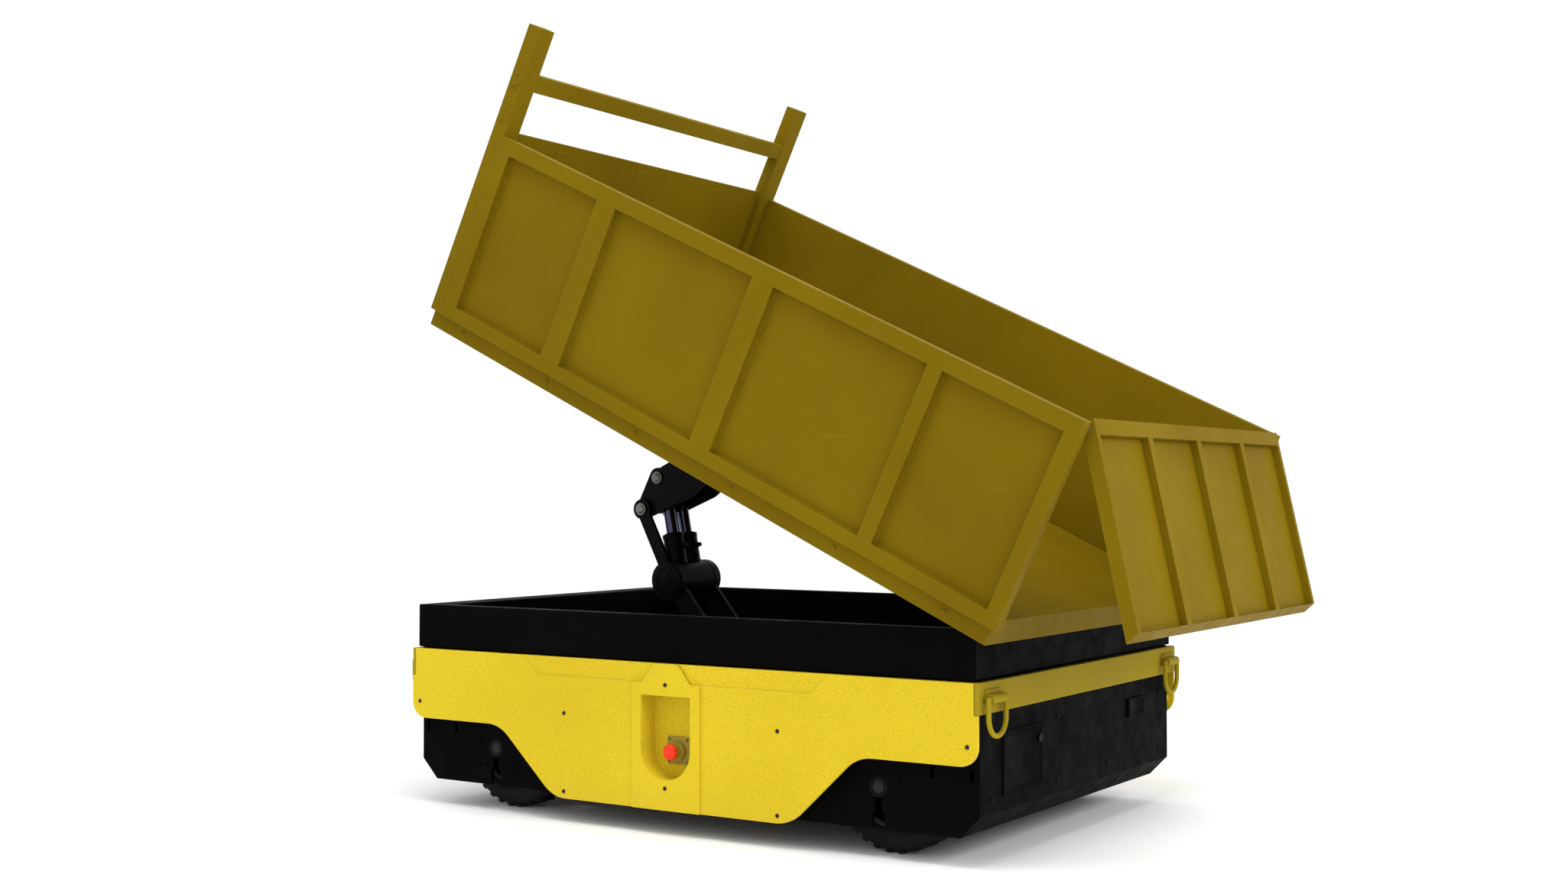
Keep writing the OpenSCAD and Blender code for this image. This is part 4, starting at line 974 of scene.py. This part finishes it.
@dataclass
class Hoist:
    """The hydraulic hoist under the bed."""

    shop: Workshop
    layout: Layout
    tools: Hardware
    barrel_y: float = 0.032
    barrel_top: float = 0.130

    def build(self) -> None:
        """Builds the hoist's pieces."""
        for node in ("lift_arms", "knuckle_plates", "hoist_barrels"):
            self.shop.refine(node, Finish.HOIST, 0.0016)
        for node in ("knuckle_pins", "lift_arm_shaft"):
            self.shop.refine(node, Finish.STEEL, 0.0014)
        # The chrome rods carry a blue tint that is painted reflection
        self.shop.refine("hoist_rods", Finish.CHROME, 0.0008)
        self.glands()
        self.drum_caps()
        self.pin_clips()

    def glands(self) -> None:
        """Gland nuts, wipers and oil ports on the barrels."""
        places = [self.layout.hoist @ move(0, s * self.barrel_y, self.barrel_top - 0.014) for s in (-1, 1)]
        gland = self.shop.turned("gland", [(0.0292, 0.0), (0.0302, 0.0015), (0.0302, 0.0125), (0.0292, 0.014),
                                           (0.0235, 0.0145), (0.0215, 0.017)], 48)
        glands = self.shop.repeated("barrel_glands", gland, places)
        self.shop.hand_over(glands, "hoist_barrels", "chassis_black", Finish.HOIST)
        port = self.shop.turned("port", [(0.0085, 0.0), (0.0085, 0.008), (0.0062, 0.009), (0.0062, 0.017)], 6, 0.0006)
        turn = Matrix.Rotation(math.radians(90), 4, "Y")
        places = [self.layout.hoist @ move(0.0275, s * self.barrel_y, 0.092) @ turn for s in (-1, 1)]
        ports = self.shop.repeated("barrel_oil_ports", port, places)
        self.shop.hand_over(ports, "hoist_barrels", "chassis_black", Finish.HOIST)

    def drum_caps(self) -> None:
        """End caps with bolts on the elbow drum."""
        elbow = Vector(self.shop.joints["barrel_lean"]["pos_m"])
        cap = self.shop.turned("cap", [(0.046, 0.0), (0.047, 0.001), (0.047, 0.004), (0.044, 0.0055), (0.020, 0.0058),
                                       (0.018, 0.0085), (0.016, 0.0092)], 48)
        places = [Matrix.Translation(elbow) @ move(0, s * 0.0925, 0) @ (TO_LEFT if s < 0 else TO_RIGHT)
                  for s in (-1, 1)]
        caps = self.shop.repeated("elbow_drum_caps", cap, places)
        self.shop.hand_over(caps, "lift_arms", "chassis_black", Finish.HOIST)
        bolt = self.tools.hex_bolt(0.0045, 0.004)
        spots = [place @ Matrix.Rotation(math.radians(60 * i), 4, "Z") @ move(0.034, 0, 0.0054)
                 for place in places for i in range(6)]
        bolts = self.shop.repeated("elbow_drum_bolts", bolt, spots)
        self.shop.hand_over(bolts, "lift_arms", "chassis_black", Finish.HOIST)

    def pin_clips(self) -> None:
        """Domed pin ends with clips on the knuckle."""
        low = Vector(self.shop.joints["knuckle_turn"]["pos_m"])
        head = self.shop.turned("clip", [(0.0145, 0.0), (0.017, 0.0004), (0.017, 0.0022), (0.0125, 0.0026),
                                         (0.0120, 0.0050), (0.0095, 0.0066), (0.0040, 0.0074)], 40)
        spots = []
        for offset, y in ((Vector((0, 0, 0)), 0.0818), (Vector((0.045, 0, 0.089)), 0.0668)):
            for s in (-1, 1):
                spots.append(Matrix.Translation(low + offset) @ move(0, s * y, 0) @ (TO_LEFT if s < 0 else TO_RIGHT))
        heads = self.shop.repeated("knuckle_pin_ends", head, spots)
        self.shop.hand_over(heads, "knuckle", "pin_steel", Finish.STEEL)


# ---------------------------------------------------------------- studio


@dataclass
class Studio:
    """Plain pale floor, soft light and the camera."""

    layout: Layout
    camera_from_middle: Point = (2.7042, -4.2337, 0.8454)
    turn_deg: float = 32.948
    up_deg: float = 1.516
    lens: float = 42.315

    def build(self) -> None:
        """Sets up the studio."""
        self.floor()
        self.lights()
        self.camera()
        scene = bpy.context.scene
        scene.view_settings.view_transform = "Standard"
        scene.view_settings.look = "None"

    def floor(self) -> None:
        """A wide pale floor."""
        bpy.ops.object.select_all(action="DESELECT")
        bpy.ops.mesh.primitive_plane_add(size=120.0, location=(0, 0, -0.0005))
        floor = bpy.context.active_object
        floor.name = "studio_floor"
        bench = NodeBench("studio_floor_paint")
        grain = bench.noise(38.0, 8.0)
        colour = bench.blend(bench.spread(grain, 0.3, 0.7, 0.0, 1.0), (0.99, 0.99, 0.99), (0.96, 0.96, 0.96))
        rough = bench.spread(grain, 0.3, 0.7, 0.85, 0.95)
        floor.data.materials.append(bench.finish(colour, rough, Specular_IOR_Level=0.1))

    def area(self, name: str, place: Point, aim: Point, size: float, power: float) -> None:
        """Hangs one soft light.

        Args:
            name: The light's name.
            place: Where it hangs.
            aim: The point it faces.
            size: Its side in metres.
            power: Its power in watts.
        """
        data = bpy.data.lights.new(name, "AREA")
        data.size = size
        data.energy = power
        light = bpy.data.objects.new(name, data)
        light.location = place
        light.rotation_euler = (Vector(aim) - Vector(place)).to_track_quat("-Z", "Y").to_euler()
        bpy.context.scene.collection.objects.link(light)

    def lights(self) -> None:
        """A white sky and two soft lights."""
        world = bpy.data.worlds.new("studio_sky")
        bpy.context.scene.world = world
        world.use_nodes = True
        world.node_tree.nodes["Background"].inputs["Color"].default_value = (1, 1, 1, 1)
        world.node_tree.nodes["Background"].inputs["Strength"].default_value = 1.06
        self.area("discharge_side_light", (5.6, -1.2, 3.4), (0.8, 0.0, 0.7), 2.6, 130.0)
        self.area("overhead_light", (0.6, -1.6, 6.0), (0.2, 0.0, 0.6), 3.0, 150.0)

    def camera(self) -> None:
        """The camera."""
        data = bpy.data.cameras.new("studio_camera")
        data.lens = self.lens
        data.sensor_width = 36.0
        data.clip_end = 400.0
        camera = bpy.data.objects.new("studio_camera", data)
        x, y, z = self.camera_from_middle
        camera.location = (x + self.layout.shift, y, z)
        camera.rotation_euler = (math.radians(90 + self.up_deg), 0.0, math.radians(self.turn_deg))
        bpy.context.scene.collection.objects.link(camera)
        bpy.context.scene.camera = camera


def main() -> None:
    """Builds the sub-assemblies in order."""
    logging.basicConfig(level=logging.INFO, format="%(name)s: %(message)s")
    shop = Workshop()
    layout = Layout.read(shop)
    tools = Hardware(shop)
    Studio(layout).build()
    for part in (Chassis(shop, layout, tools), Wheels(shop, layout, tools), PowerUnit(shop, layout, tools),
                 Bed(shop, layout, tools), Tailgate(shop, layout, tools), Hoist(shop, layout, tools)):
        part.build()
        log.info("%s is done", type(part).__name__)
    log.info("%d pieces in all", shop.count)


if __name__ == "__main__":
    main()
